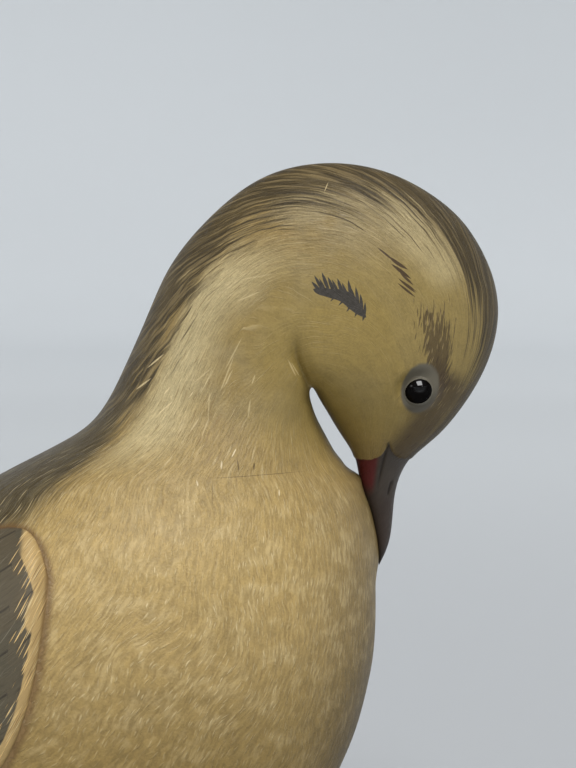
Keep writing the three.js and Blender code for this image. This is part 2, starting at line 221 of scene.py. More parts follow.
EAR_FOOT = [(57.7, 110.4), (58.2, 109.7), (59.9, 109.1), (61.7, 108.5), (63.2, 107.3), (64.8, 106.3)]
EAR_FOOT += [(65.6, 106.1)]
EYE_DARK_BACK = [(98.0, 74.6), (99.4, 74.8), (100.9, 74.4), (103.3, 74.0), (105.8, 74.0), (109.5, 74.4)]
EYE_DARK_FRONT = [(93.3, 77.2), (94.8, 77.7), (96.7, 78.4), (99.4, 78.3), (102.0, 78.5), (104.5, 78.0)]
EYE_DARK_FRONT += [(106.8, 77.2), (109.5, 76.2)]
BACK_BAND = [  # how far round the dark of the back comes, by the place along the flow
    (-100, 0.5), (-60, 0.42), (-35, 0.32), (-18, 0.262), (-8, 0.275), (-3, 0.292), (3, 0.286), (9, 0.26),
    (14, 0.241), (18, 0.262), (25, 0.264), (40, 0.28), (60, 0.29), (77, 0.24), (90, 0.28), (104, 0.25),
    (112, 0.3), (150, 0.4),
]
FACE_LEAN = [  # the forehead's outline by height, which the strokes of the face run beside
    (80, -17.0), (83.6, -13.5), (87.6, -9.2), (93.6, -4.2), (97.5, -1.9), (101.2, -0.6), (106, 0.0),
    (109.2, 0.0), (114, -1.4), (119.2, -4.3), (126, -12.8), (130, -22.0),
]
GAPE_TOP = (69.6, 84.0, 3.0, 0.9)  # the bare bill's edge: x of its peak, its foot, its height, its spread
GLASS_AXES = (2.03, 1.8)  # half the glass that shows, along and across its own slant
GLASS_SLANT = 22.0


def linear(*levels):
    """The linear colour of sRGB levels from 0 to 255."""
    shares = [level / 255 for level in levels]
    return tuple(s / 12.92 if s <= 0.04045 else ((s + 0.055) / 1.055) ** 2.4 for s in shares)


def colour(name, description, *levels):
    """A colour that the user may change, given in sRGB levels."""
    return bpy.props.FloatVectorProperty(
        name=name, description=description, subtype="COLOR", size=3, min=0, max=1, default=linear(*levels)
    )


def length(name, description, default):
    """A length that the user may change, in metres."""
    return bpy.props.FloatProperty(name=name, description=description, default=default * MM, unit="LENGTH")


class DoveCarving(bpy.types.PropertyGroup):
    """Sizes of the fine carving."""

    lid_rise: length("Lid rise", "How far the eyelid stands over the glass", 0.12)
    lid_reach: length("Lid reach", "How wide the swelling round the eye is", 2.4)
    crease_depth: length("Crease depth", "Depth of the fold between cheek and neck", 1.5)
    mouth_depth: length("Mouth depth", "Depth of the line between the halves of the bill", 0.16)
    margin_step: length("Feather step", "How far the feathers stand over the bare bill", 0.16)
    feather_lift: length("Feather lift", "How far a wing feather's tip stands over the next", 0.4)
    crease_round: bpy.props.IntProperty(
        name="Wing crease", description="Rounds of smoothing along the wing's edge", default=5, min=0
    )


class DovePaint(bpy.types.PropertyGroup):
    """Colours of the paint."""

    breast: colour("Breast", "Ground colour of the breast", 183, 155, 98)
    # Darker than the breast, partly as painted shade of the underside.
    belly: colour("Belly", "Ground colour of the belly and vent", 166, 135, 62)
    neck: colour("Neck", "Ground colour of the neck", 150, 126, 76)
    cheek: colour("Cheek", "Ground colour of the side of the head", 150, 128, 71)
    grey_wash: colour("Grey wash", "Cool wash over the neck and nape", 156, 142, 108)
    # Pale paint for the painted highlights beside the dark of the nape and on the brow.
    sheen: colour("Sheen", "Pale greyish buff beside the dark of the nape", 204, 186, 140)
    crown: colour("Crown", "Dark colour of crown, nape and mantle", 85, 71, 43)
    mantle: colour("Mantle", "Dark colour of the mantle", 88, 79, 58)
    crown_deep: colour("Crown depths", "Darkest strokes of crown, nape and mantle", 56, 46, 28)
    crown_hair: colour("Crown hair", "Light strokes over the dark crown", 164, 142, 98)
    pale_hair: colour("Pale hair", "Pale strokes over the neck and breast", 222, 200, 152)
    soft_hair: colour("Soft hair", "Low strokes in the buff ground", 132, 106, 62)
    face: colour("Face", "Brown before the eye", 70, 55, 37)
    eye_ring: colour("Eye ring", "Bare skin round the eye", 98, 92, 78)
    ear_mark: colour("Ear mark", "Charcoal mark below the ear", 52, 49, 47)
    slash: colour("Slashes", "Brown strokes over the ear", 62, 44, 30)
    bill: colour("Bill", "Upper bill", 76, 68, 60)
    bill_brown: colour("Bill brown", "Lower bill and tip", 68, 57, 50)
    bill_red: colour("Bill red", "Red at the root of the lower bill", 104, 32, 34)
    wing: colour("Wing", "Dark ground of the wing", 88, 82, 66)
    wing_brown: colour("Wing brown", "Brown ground of the wing", 92, 80, 60)
    wing_edge: colour("Wing edge", "Pale edges of the wing feathers", 200, 168, 112)
    tail: colour("Tail", "Dark ground of the tail", 86, 78, 68)


class DoveStage(bpy.types.PropertyGroup):
    """The camera, the light and the floor."""

    focal_length: bpy.props.FloatProperty(name="Lens", description="Focal length, mm", default=79.7)
    distance: length("Distance", "From the camera to the middle of the view", 263.5)
    azimuth: bpy.props.FloatProperty(
        name="Azimuth", description="Where the camera stands round the dove", default=math.radians(-2), subtype="ANGLE"
    )
    elevation: bpy.props.FloatProperty(
        name="Elevation", description="How far the camera looks down", default=math.radians(4), subtype="ANGLE"
    )
    room: colour("Room", "Colour of the light from all round", 206, 210, 213)
    # The floor by the dove is painted darker than far off, as painted shade under the dove.
    floor: colour("Floor", "Colour of the floor by the dove", 192, 195, 198)
    wall: colour("Wall", "Colour of the floor far from the dove", 213, 217, 220)
    room_light: bpy.props.FloatProperty(name="Room light", description="Strength of the light all round", default=0.16)
    key_light: bpy.props.FloatProperty(
        name="Key light", description="Power of the square lamp", default=310.0, unit="POWER"
    )


class Spline:
    """A smooth curve through rows of numbers, a natural cubic spline over their distance apart."""

    def __init__(self, rows, apart):
        self.rows = np.array(rows, float)
        gaps = np.array([apart(a, b) for a, b in zip(self.rows, self.rows[1:])])
        self.knots = np.concatenate([[0], np.cumsum(gaps)])
        self.gaps = gaps
        slopes = np.diff(self.rows, axis=0) / gaps[:, None]
        system = np.eye(len(self.rows))
        target = np.zeros_like(self.rows)
        for i in range(1, len(gaps)):
            system[i, i - 1 : i + 2] = gaps[i - 1], 2 * (gaps[i - 1] + gaps[i]), gaps[i]
            target[i] = 6 * (slopes[i] - slopes[i - 1])
        self.bends = np.linalg.solve(system, target)

    def __call__(self, share):
        at = np.clip(share, 0, 1) * self.knots[-1]
        i = np.clip(np.searchsorted(self.knots, at), 1, len(self.gaps))
        gap = self.gaps[i - 1][..., None]
        after = (at[..., None] - self.knots[i - 1][..., None]) / gap
        before = 1 - after
        line = before * self.rows[i - 1] + after * self.rows[i]
        curl = (before**3 - before) * self.bends[i - 1] + (after**3 - after) * self.bends[i]
        return line + curl * gap**2 / 6

    def share_at(self, row):
        """The share along the curve of one of its rows."""
        return self.knots[row] / self.knots[-1]


def station_step(a, b):
    return math.dist(a[:2], b[:2]) + math.dist(a[2:4], b[2:4])


TRUNK_CURVE = Spline([(*back, *throat, half, lean, fold) for _, back, throat, half, lean, fold in TRUNK], station_step)
SEAT_ROW = [name for name, *_ in TRUNK].index("seat")
SEAT_SHARE = TRUNK_CURVE.share_at(SEAT_ROW)
WING_CURVE = Spline([(*middle, *rest) for _, middle, *rest in WING], lambda a, b: math.dist(a[:3], b[:3]))
TAIL_CURVE = Spline(TAIL_LINE, lambda a, b: a[0] - b[0])


def superellipse(angle, power):
    """The shares across and outwards of a rounded square's point at an angle."""
    cos = np.cos(angle)
    sin = np.sin(angle)
    return np.sign(cos) * np.abs(cos) ** (2 / power), np.sign(sin) * np.abs(sin) ** (2 / power)


def trunk_points(along, turn):
    """Points of the trunk. turn is 0 on the left of the throat line, a half on the back line, 1 on the right."""
    back_x, back_z, throat_x, throat_z, half, lean, fold = np.moveaxis(TRUNK_CURVE(along), -1, 0)
    angle = 2 * np.pi * (turn - 0.5)
    power = TRUNK_POWER + np.where(np.cos(angle) < 0, fold, 0)
    across, out = superellipse(angle, power)
    share = (1 - across) / 2
    x = back_x + (throat_x - back_x) * share
    z = back_z + (throat_z - back_z) * share
    y = -out * np.maximum(half, 0) * (1 - lean * across)
    return np.stack([x, y, z], -1)


def normals_of(surface, along, turn, reach=1e-3):
    """Outward unit normals of a surface function."""
    down = surface(along + reach, turn) - surface(along - reach, turn)
    side = surface(along, turn + reach) - surface(along, turn - reach)
    normal = np.cross(side, down)
    return normal / np.maximum(np.linalg.norm(normal, axis=-1, keepdims=True), 1e-9)


def flow_lengths():
    """How far each place of the trunk lies from the seat along its own flow line, on a fine grid."""
    along, turn = np.meshgrid(np.linspace(0, 1, 1201), np.linspace(0, 1, 121), indexing="ij")
    steps = np.linalg.norm(np.diff(trunk_points(along, turn), axis=0), axis=-1)
    lengths = np.concatenate([np.zeros((1, 121)), np.cumsum(steps, axis=0)])
    return lengths - lengths[round(SEAT_SHARE * 1200)]


FLOW_LENGTHS = flow_lengths()


def flow_at(along, turn):
    """The flow map of the trunk in millimetres: from the seat towards the bill, and round from the back line."""
    row = np.clip(along, 0, 1) * 1200
    column = np.clip(turn, 0, 1) * 120
    i = np.minimum(row.astype(int), 1199)
    j = np.minimum(column.astype(int), 119)
    down, side = row - i, column - j
    near = FLOW_LENGTHS[i, j] * (1 - side) + FLOW_LENGTHS[i, j + 1] * side
    far = FLOW_LENGTHS[i + 1, j] * (1 - side) + FLOW_LENGTHS[i + 1, j + 1] * side
    return np.stack([near * (1 - down) + far * down, (turn - 0.5) * GIRTH], -1)


def soft(value, low, high):
    """0 below low, 1 above high and a smooth rise between, for numbers or shader wires."""
    if isinstance(value, Wire):
        return value.node(
            "MapRange", {"interpolation_type": "SMOOTHSTEP"}, {"Value": value, "From Min": low, "From Max": high}
        )
    share = np.clip((value - low) / (high - low), 0, 1)
    return share * share * (3 - 2 * share)


def whole(value):
    """The whole number below, for numbers or shader wires."""
    return value.math("FLOOR") if isinstance(value, Wire) else np.floor(value)


def power_of_e(value):
    return value.math("EXPONENT") if isinstance(value, Wire) else np.exp(value)


def log_of(value):
    return value.math("LOGARITHM", math.e) if isinstance(value, Wire) else np.log(value)


def bill_margin(x):
    """Height of the feathers' edge on the bill, which rises to a point behind the mouth."""
    peak, foot, rise, spread = GAPE_TOP
    return foot + rise * power_of_e(abs(x - peak) * (-1 / spread))


def path_distance(points, path):
    """Each point's distance from a path in side view, and its share along it."""
    best = np.full(len(points), np.inf)
    share = np.zeros(len(points))
    pieces = list(zip(path, path[1:]))
    for number, (start, end) in enumerate(pieces):
        a = np.array(start)
        run = np.array(end) - a
        at = np.clip((points - a) @ run / (run @ run), 0, 1)
        far = np.linalg.norm(points - a - at[:, None] * run, axis=1)
        share = np.where(far < best, (number + at) / len(pieces), share)
        best = np.minimum(best, far)
    return best, share


def line_cut(points, path, wide, fade_from=1.0):
    """How deep a carved line is at each point, from 0 to 1, fading out along the path."""
    far, share = path_distance(points, path)
    fade = 1 - soft(share, fade_from, 1.0001) if fade_from < 1 else 1.0
    return np.exp(-((far / wide) ** 2)) * fade


def flat_grid(rows, columns):
    """A grid over the unit square: x is the share along, y the share round."""
    bm = bmesh.new()
    bmesh.ops.create_grid(bm, x_segments=rows, y_segments=columns, size=0.5)
    bmesh.ops.translate(bm, verts=bm.verts, vec=(0.5, 0.5, 0))
    return bm


def refine(bm, low, high, cuts):
    """Cuts the faces of a flat grid finer between two corners of the unit square."""
    faces = [f for f in bm.faces if all(low[k] <= f.calc_center_median()[k] <= high[k] for k in (0, 1))]
    edges = list({e for f in faces for e in f.edges})
    bmesh.ops.subdivide_edges(bm, edges=edges, cuts=cuts, use_grid_fill=True, use_single_edge=True)


def shares_of(bm):
    flat = np.array([v.co[:2] for v in bm.verts])
    return flat[:, 0], flat[:, 1]


def lay_map(bm, values):
    """Writes each corner's place on the flow map from its vertex."""
    bm.verts.index_update()
    layer = bm.loops.layers.uv.new("flow")
    pairs = values.tolist()
    for face in bm.faces:
        for loop in face.loops:
            loop[layer].uv = pairs[loop.vert.index]


def lay_number(bm, name, values):
    """Writes a number on every vertex."""
    layer = bm.verts.layers.float.new(name)
    for vert, value in zip(bm.verts, values.tolist()):
        vert[layer] = value


def move_to(bm, points):
    for vert, point in zip(bm.verts, (points * MM).tolist()):
        vert.co = point


def close_up(bm, weld=2e-6):
    """Welds the seam and the poles, closes an open end and turns the faces outwards."""
    bmesh.ops.remove_doubles(bm, verts=bm.verts, dist=weld)
    bmesh.ops.holes_fill(bm, edges=[e for e in bm.edges if e.is_boundary], sides=0)
    bmesh.ops.recalc_face_normals(bm, faces=bm.faces)


def stand_flat(bm):
    """Cuts off what is below the ground and closes the underside flat."""
    geometry = [*bm.verts, *bm.edges, *bm.faces]
    bmesh.ops.bisect_plane(bm, geom=geometry, dist=1e-7, plane_co=(0, 0, 0), plane_no=(0, 0, -1), clear_outer=True)
    close_up(bm)


def piece_from(bm, name, materials, sharp=35):
    """A finished object with smooth faces and crisp cut edges."""
    mesh = bpy.data.meshes.new(name)
    bm.to_mesh(mesh)
    bm.free()
    mesh.polygons.foreach_set("use_smooth", [True] * len(mesh.polygons))
    mesh.set_sharp_from_angle(angle=math.radians(sharp))
    for material in materials:
        mesh.materials.append(material)
    made = bpy.data.objects.new(name, mesh)
    bpy.context.scene.collection.objects.link(made)
    return made


def sharpen_rim(piece):
    """Keeps the flat face of the joint out of the shading of the surface round it."""
    mesh = piece.data
    heights = np.empty(len(mesh.vertices) * 3)
    mesh.vertices.foreach_get("co", heights)
    on_rim = abs(heights[2::3] - SEAT * MM) < 1e-6
    for edge in mesh.edges:
        if on_rim[edge.vertices[0]] and on_rim[edge.vertices[1]]:
            edge.use_edge_sharp = True
    return piece


def hand_of_the_knife(points, depth=0.06):
    """The slight unevenness of a hand-smoothed surface."""
    x, y, z = points.T
    waves = np.sin(x / 3.1 + 1.7 * np.sin(z / 4.3)) + np.sin(z / 2.7 + 1.3 * np.sin(x / 5.1 + y / 4.0))
    return depth * waves / 2


def eye_shares(side_view):
    """How far a point in side view is from the middle of the glass: 1 is the glass's edge."""
    middle = (EYE_BOX[0] + EYE_BOX[1]) / 2
    slant = math.radians(GLASS_SLANT)
    off = side_view - np.array([middle.x, middle.z])
    longways = off[:, 0] * math.cos(slant) + off[:, 1] * math.sin(slant)
    crossways = off[:, 1] * math.cos(slant) - off[:, 0] * math.sin(slant)
    return np.hypot(longways / GLASS_AXES[0], crossways / GLASS_AXES[1]), np.hypot(*off.T)


def shape_eyelids(points, sizes):
    """Sinks the socket under the glass and raises the lid round it, on both sides."""
    share, far = eye_shares(points[:, [0, 2]])
    middle = (EYE_BOX[0] + EYE_BOX[1]) / 2
    radius = (EYE_BOX[1].x - EYE_BOX[0].x) / 2
    outside = abs(middle.y) + np.sqrt(np.maximum(radius**2 - np.minimum(far, 2.2) ** 2, 0))
    lid = outside + sizes.lid_rise / MM
    reach = 1.1 + sizes.lid_reach / MM / GLASS_AXES[0]
    pull = (1 - soft(share, 1.1, reach)) ** 1.5
    sink = 1.1 * (1 - soft(share, 0.9, 1.0))
    on_side = np.abs(points[:, 1]) > 4
    depth = np.abs(points[:, 1])
    raised = depth + (lid - depth) * pull - sink
    moved = points.copy()
    moved[:, 1] = np.where(on_side & (share < reach), np.sign(points[:, 1]) * raised, points[:, 1])
    return moved


def carve_head(along, turn, sizes):
    """The head's points with its fine carving, and how much of a cut each one lies in."""
    points = trunk_points(along, turn)
    out = normals_of(trunk_points, along, turn)
    view = points[:, [0, 2]]
    on_side = np.abs(points[:, 1]) > 0.35 * np.interp(points[:, 2], [66, 84, 90], [2, 3.5, 12])
    crease = line_cut(view, CREASE, 1.7, 0.35) + 0.5 * line_cut(view, CREASE, 0.5, 0.3)
    mouth = line_cut(view, MOUTH, 0.16, 0.55) * on_side
    nostril = line_cut(view, NOSTRIL, 0.2) * on_side
    plumage = soft(points[:, 2] - bill_margin(points[:, 0]), -0.1, 0.15)
    on_face = along > (1 + SEAT_SHARE) / 2
    swelling = on_face * plumage * (1 - soft(points[:, 2], 86, 92)) * sizes.margin_step / MM
    depth = (mouth + 1.6 * nostril) * sizes.mouth_depth / MM
    rise = swelling + hand_of_the_knife(points) * soft(points[:, 2], SEAT, SEAT + 9) - depth
    moved = points + out * rise[:, None]
    sunk = np.minimum(crease * sizes.crease_depth / MM, np.abs(moved[:, 1]) * 0.9)
    moved[:, 1] -= np.sign(moved[:, 1]) * sunk
    return shape_eyelids(moved, sizes), mouth + nostril


def make_head(sizes, material):
    bm = flat_grid(300, 200)
    for turn in (0.25, 0.75):
        refine(bm, (0.68, turn - 0.06), (0.8, turn + 0.06), 2)
    share, turn = shares_of(bm)
    along = SEAT_SHARE + (1 - SEAT_SHARE) * share**1.25
    points, cut = carve_head(along, turn, sizes)
    lay_map(bm, flow_at(along, turn))
    lay_number(bm, "cut", cut)
    move_to(bm, points)
    close_up(bm)
    return piece_from(bm, "carved_head", [material])


def overlapping(rows, place, bow):
    """Where a place lies on rows of overlapping feathers, for numbers or shader wires.

    rows counts along the feathers and place across them, and bow is how round their tips are. Returns
    the room left to the feather's tip in rows, the share across the feather, its row and its number.
    """
    first = whole(rows)

    def feather(row):
        stagger = (row * 0.5 - whole(row * 0.5)) + row * 0.37
        number = whole(place + stagger)
        return place + stagger - number, number

    def tip(row, across):
        bend = abs(across * 2 - 1)
        return row + 1 - bend * bend * bend * bow

    across, number = feather(first)
    left = tip(first, across) - rows
    next_across, next_number = feather(first + 1)
    next_left = tip(first + 1, next_across) - rows
    inside = soft(left, -0.02, 0.02)
    return (
        next_left + inside * (left - next_left),
        next_across + inside * (across - next_across),
        first + 1 - inside,
        next_number + inside * (number - next_number),
    )


def wing_feathers(back, up):
    """The wing's rows of feathers, which grow longer towards its tip."""
    return overlapping(log_of(1 + back * (1 / 26)) * 5.2, up * (1 / 5.6), 0.55)


def wing_points(along, turn, side, lift):
    """Points of a wing's blade with its feathers, their places back and up along it, and how far in they lie."""
    share = (1 - np.cos(np.pi * along)) / 2
    x, y, z, half, thick, tilt, up_bend, low_bend = np.moveaxis(WING_CURVE(share), -1, 0)
    half = np.where((along < 1e-6) | (along > 1 - 1e-6), 0, half)
    thick = np.where(half == 0, 0, thick)
    across, out = superellipse(2 * np.pi * turn, BLADE_POWER)
    back = WING[0][1][0] - x
    up = across * half
    left, *_ = wing_feathers(back, up)
    shown = soft(back, 9, 16) * soft(out, 0.2, 0.7) * soft(half, 0.5, 4)
    thick = thick + lift * shown * np.maximum(1 - left / 1.4, 0) - 0.5 * lift * shown
    radius = np.where(across > 0, up_bend, low_bend)
    bend = up / radius
    reach = (radius + out * thick) * np.sin(bend)
    rise = (radius + out * thick) * np.cos(bend) - radius
    lean = np.radians(tilt)
    points = np.stack(
        [
            x,
            side * (y - reach * np.cos(lean) + rise * np.sin(lean)),
            z + reach * np.sin(lean) + rise * np.cos(lean),
        ],
        -1,
    )
    slope = (WING_CURVE(share + 0.01)[:, 3] - WING_CURVE(share - 0.01)[:, 3]) / 0.02 / WING_CURVE.knots[-1]
    inward = (half - np.abs(up)) / np.hypot(1, slope)
    return points, np.stack([back, up], -1), inward


def make_wing(side, sizes, material):
    bm = flat_grid(190, 120)
    along, turn = shares_of(bm)
    points, places, inward = wing_points(along, turn, side, sizes.feather_lift / MM)
    lay_map(bm, places)
    lay_number(bm, "inward", inward)
    move_to(bm, points)
    close_up(bm)
    return piece_from(bm, "wing", [material])


def make_tail_step(end, half, drop, material):
    bm = flat_grid(90, 60)
    along, turn = shares_of(bm)
    share = np.sin(np.pi / 2 * along)
    root = TAIL_LINE[0][0]
    x, z, thick = np.moveaxis(TAIL_CURVE(share * (end - root) / (TAIL_LINE[-1][0] - root)), -1, 0)
    in_tip = np.clip(1 - (x - end) / TAIL_TIP, 0, 1)
    width = half * np.sqrt(np.maximum(1 - in_tip**2, 0))
    width = np.where(along > 1 - 1e-6, 0, width)
    thick = np.where(width == 0, 0, thick)
    across, out = superellipse(2 * np.pi * turn, BLADE_POWER)
    y = across * width
    points = np.stack([x, y, z - drop + out * thick - np.abs(y) * TAIL_DOME], -1)
    lay_map(bm, np.stack([-x, y], -1))
    move_to(bm, points)
    close_up(bm)
    return piece_from(bm, "tail", [material])


def carve_trunk(along, turn):
    """The body's points with the slight unevenness of its carving."""
    points = trunk_points(along, turn)
    out = normals_of(trunk_points, along, turn)
    near_seat = soft(np.abs(points[:, 2] - SEAT), 0, 4)
    x, y, z = points.T
    under_bill = 0.7 * soft(z, 64, 69) * (1 - soft(z, 80, 83)) + 0.5 * np.exp(-(((z - 80.6) / 1.2) ** 2))
    bill_rest = under_bill * np.exp(-((y / 4) ** 2)) * soft(x, 55, 60)
    ripples = 0.09 * np.sin(z / 0.9 + 1.5 * np.sin(x / 3)) * np.exp(-(((x - 44) / 7) ** 2 + ((z - 61) / 4) ** 2))
    return points + out * (hand_of_the_knife(points, 0.1) * near_seat + bill_rest + ripples)[:, None]


def make_trunk(material):
    bm = flat_grid(250, 190)
    share, turn = shares_of(bm)
    along = SEAT_SHARE * (1 - (1 - share) ** 1.5)
    lay_map(bm, flow_at(along, turn))
    move_to(bm, carve_trunk(along, turn))
    close_up(bm)
    return piece_from(bm, "trunk", [material])


def joined(first, others):
    """One closed mesh of overlapping ones, each part keeping its map and its paint."""
    for other in others:
        union = first.modifiers.new("join", "BOOLEAN")
        union.operation = "UNION"
        union.solver = "MANIFOLD"
        union.material_mode = "TRANSFER"
        union.object = other
    mesh = bpy.data.meshes.new_from_object(first.evaluated_get(bpy.context.evaluated_depsgraph_get()))
    bm = bmesh.new()
    bm.from_mesh(mesh)
    for gone in (first, *others):
        bpy.data.objects.remove(gone)
    materials = list(mesh.materials)
    bpy.data.meshes.remove(mesh)
    return bm, materials


def drop_fins(bm):
    """Takes out what the weld leaves: fins with open edges, and corners that only two faces share."""
    fins = [f for f in bm.faces if sum(e.is_boundary for e in f.edges) > 1]
    bmesh.ops.delete(bm, geom=fins, context="FACES")
    bmesh.ops.dissolve_verts(bm, verts=[v for v in bm.verts if len(v.link_edges) == 2])


def soften_creases(bm, rounds):
    """Smooths the wings' and the tail's edges where they enter the trunk, and marks how near each vertex is."""
    border = [e for e in bm.edges if len({f.material_index for f in e.link_faces}) > 1]
    near = {v for e in border for v in e.verts}
    for _ in range(2):
        near |= {e.other_vert(v) for v in near for e in v.link_edges}
    for _ in range(rounds):
        bmesh.ops.smooth_vert(bm, verts=list(near), factor=0.5, use_axis_x=True, use_axis_y=True, use_axis_z=True)
    tree = KDTree(len(border))
    for number, edge in enumerate(border):
        tree.insert((edge.verts[0].co + edge.verts[1].co) / 2, number)
    tree.balance()
    far = np.array([tree.find(v.co)[2] for v in bm.verts]) / MM
    lay_number(bm, "crease", np.exp(-((far / 1.3) ** 2)))


def make_body(sizes, feathers, wing_paint, tail_paint):
    trunk = make_trunk(feathers)
    wings = [make_wing(side, sizes, wing_paint) for side in (-1, 1)]
    tail = [make_tail_step(end, half, drop, tail_paint) for _, end, half, drop in TAIL_STEPS]
    bm, materials = joined(trunk, [*wings, *tail])
    bmesh.ops.remove_doubles(bm, verts=bm.verts, dist=5e-6)
    drop_fins(bm)
    soften_creases(bm, sizes.crease_round)
    stand_flat(bm)
    return sharpen_rim(piece_from(bm, "carved_body", materials, sharp=50))


class Wire:
    """A shader socket that can be reckoned with: arithmetic on it adds Math nodes to its tree."""

    def __init__(self, socket):
        self.socket = socket

    def node(self, kind, settings=None, inputs=None, outputs=(0,)):
        """Adds a node of a kind: its settings first, then the values or wires of its inputs."""
        tree = self.socket.id_data
        made = tree.nodes.new("ShaderNode" + kind)
        for name, value in (settings or {}).items():
            if name == "stops":
                set_stops(made.color_ramp, value)
            else:
                setattr(made, name, value)
        for name, value in (inputs or {}).items():
            if isinstance(value, Wire):
                tree.links.new(value.socket, made.inputs[name])
            else:
                made.inputs[name].default_value = value
        found = [Wire(made.outputs[name]) for name in outputs]
        return found[0] if len(found) == 1 else found

    def math(self, operation, *others):
        values = {number: value for number, value in enumerate((self, *others))}
        return self.node("Math", {"operation": operation}, values)

    def _after(self, operation, other):
        return self.node("Math", {"operation": operation}, {0: other, 1: self})

    def __add__(self, other):
        return self.math("ADD", other)

    def __radd__(self, other):
        return self._after("ADD", other)

    def __sub__(self, other):
        return self.math("SUBTRACT", other)

    def __rsub__(self, other):
        return self._after("SUBTRACT", other)

    def __mul__(self, other):
        return self.math("MULTIPLY", other)

    def __rmul__(self, other):
        return self._after("MULTIPLY", other)

    def __truediv__(self, other):
        return self.math("DIVIDE", other)

    def __rtruediv__(self, other):
        return self._after("DIVIDE", other)

    def __pow__(self, other):
        return self.math("POWER", other)

    def __neg__(self):
        return self * -1

    def __abs__(self):
        return self.math("ABSOLUTE")

    def clipped(self):
        """The value held between 0 and 1."""
        return self.node("Clamp", None, {"Value": self})


def set_stops(ramp, stops):
    """Gives a colour ramp its stops, as pairs of place and colour."""
    for _ in range(len(stops) - 2):
        ramp.elements.new(0.5)
    for element, (place, tint) in zip(ramp.elements, stops):
        element.position = place
        element.color = (*tint, 1)


def rgba(tint):
    return tint if isinstance(tint, Wire) else (*tuple(tint)[:3], 1)


def over(ground, tint, share):
    """A colour laid over the ground by a share."""
    return share.node("Mix", {"data_type": "RGBA"}, {0: share, 6: rgba(ground), 7: rgba(tint)}, (2,))


def shaded(ground, share):
    """A colour made darker or lighter by a factor."""
    return share.node("VectorMath", {"operation": "SCALE"}, {0: ground, "Scale": share})


class Surface:
    """The coordinates that a paint reads, in millimetres."""

    def __init__(self, material):
        tree = material.node_tree
        tree.nodes.clear()
        place = tree.nodes.new("ShaderNodeTexCoord").outputs["Object"]
        self.place = Wire(place).node("VectorMath", {"operation": "SCALE"}, {0: Wire(place), "Scale": 1 / MM})
        self.x, self.y, self.z = self.place.node("SeparateXYZ", None, {0: self.place}, (0, 1, 2))
        flow = self.place.node("UVMap", {"uv_map": "flow"})
        self.along, self.around, _ = flow.node("SeparateXYZ", None, {0: flow}, (0, 1, 2))
        self.lie = self.around

    def number(self, name):
        """A number written on the mesh."""
        return self.place.node("Attribute", {"attribute_name": name}, None, ("Fac",))

    def at(self, x, y, z=0.0):
        return self.place.node("CombineXYZ", None, {0: x, 1: y, 2: z})

    def cloud(self, size, detail=2.0, seed=0.0):
        """Soft patches of a size in millimetres, from 0 to 1."""
        return self.place.node(
            "TexNoise",
            {"noise_dimensions": "4D"},
            {"Vector": self.place, "W": seed, "Scale": 1 / size, "Detail": detail},
            ("Fac",),
        )

    def streaks(self, long, wide, seed=0.0, detail=2.0):
        """Streaks along the lie of the feathers, from 0 to 1."""
        spot = self.at(self.along / long + seed, self.lie / wide)
        return self.place.node(
            "TexNoise", {"noise_dimensions": "2D"}, {"Vector": spot, "Scale": 1.0, "Detail": detail}, ("Fac",)
        )


def strokes(surface, room, slim, share, seed, reach=0.42, slant=0.0, wander=0.7):
    """Tapered brush strokes along the lie of the feathers, one in each room of millimetres long and wide.

    slant turns all of them and wander each its own way. Returns how much a place is covered, and a
    number of its own for each stroke.
    """
    long, wide = room
    cell = surface.at(surface.along / long + seed, (surface.lie + surface.along * slant) / wide + seed * 3.7)
    middle, tint = cell.node(
        "TexVoronoi", {"voronoi_dimensions": "2D"}, {"Vector": cell, "Scale": 1.0}, ("Position", "Color")
    )
    off = cell.node("VectorMath", {"operation": "SUBTRACT"}, {0: cell, 1: middle})
    down, aside, _ = off.node("SeparateXYZ", None, {0: off}, (0, 1, 2))
    chance, tone, size = tint.node("SeparateColor", None, {0: tint}, (0, 1, 2))
    at = down / (reach * (0.6 + size * 0.4))
    taper = (1 - at * at).clipped() * (0.7 + at * 0.3)
    aside = aside + down * ((tone + size) - 1) * wander
    cover = soft(taper * slim - abs(aside), 0.0, slim * 0.6)
    return cover * soft(share - chance, 0.0, 0.1), tone


def segment(surface, start, end, wide):
    """A tapered mark between two points in side view, in millimetres."""
    run = (end[0] - start[0], end[1] - start[1])
    span = math.hypot(*run)
    off_x = surface.x - start[0]
    off_z = surface.z - start[1]
    down = (off_x * run[0] + off_z * run[1]) / span**2
    aside = abs(off_x * run[1] - off_z * run[0]) / span
    taper = down * (1 - down) * 4
    return soft(taper * wide - aside, -0.02, 0.05)


def graph(value, points):
    """The height over a place of a smooth curve through points."""
    left, right = points[0][0], points[-1][0]
    low = min(height for _, height in points)
    high = max(height for _, height in points)
    made = value.node("FloatCurve", None, {"Value": (value - left) / (right - left)})
    mapping = made.socket.node.mapping
    curve = mapping.curves[0]
    for _ in range(len(points) - 2):
        curve.points.new(0.5, 0.5)
    for point, (place, height) in zip(curve.points, points):
        point.location = ((place - left) / (right - left), (height - low) / (high - low))
    mapping.update()
    return low + made * (high - low)


def marks(surface, lines):
    """How much of a place some tapered marks cover."""
    cover = None
    for start, end, wide in lines:
        line = segment(surface, start, end, wide)
        cover = line if cover is None else cover.math("MAXIMUM", line)
    return cover * soft(abs(surface.y), 3.0, 5.0)


def near_path(surface, start, end, wide, fade):
    """How near a place is in side view to the line between two points, from 0 to 1."""
    run = (end[0] - start[0], end[1] - start[1])
    span = math.hypot(*run)
    off_x, off_z = surface.x - start[0], surface.z - start[1]
    down = ((off_x * run[0] + off_z * run[1]) / span**2).clipped()
    gap = surface.at(off_x - down * run[0], 0.0, off_z - down * run[1])
    far = gap.node("VectorMath", {"operation": "LENGTH"}, {0: gap}, ("Value",))
    return 1 - soft(far, wide - fade, wide + fade)


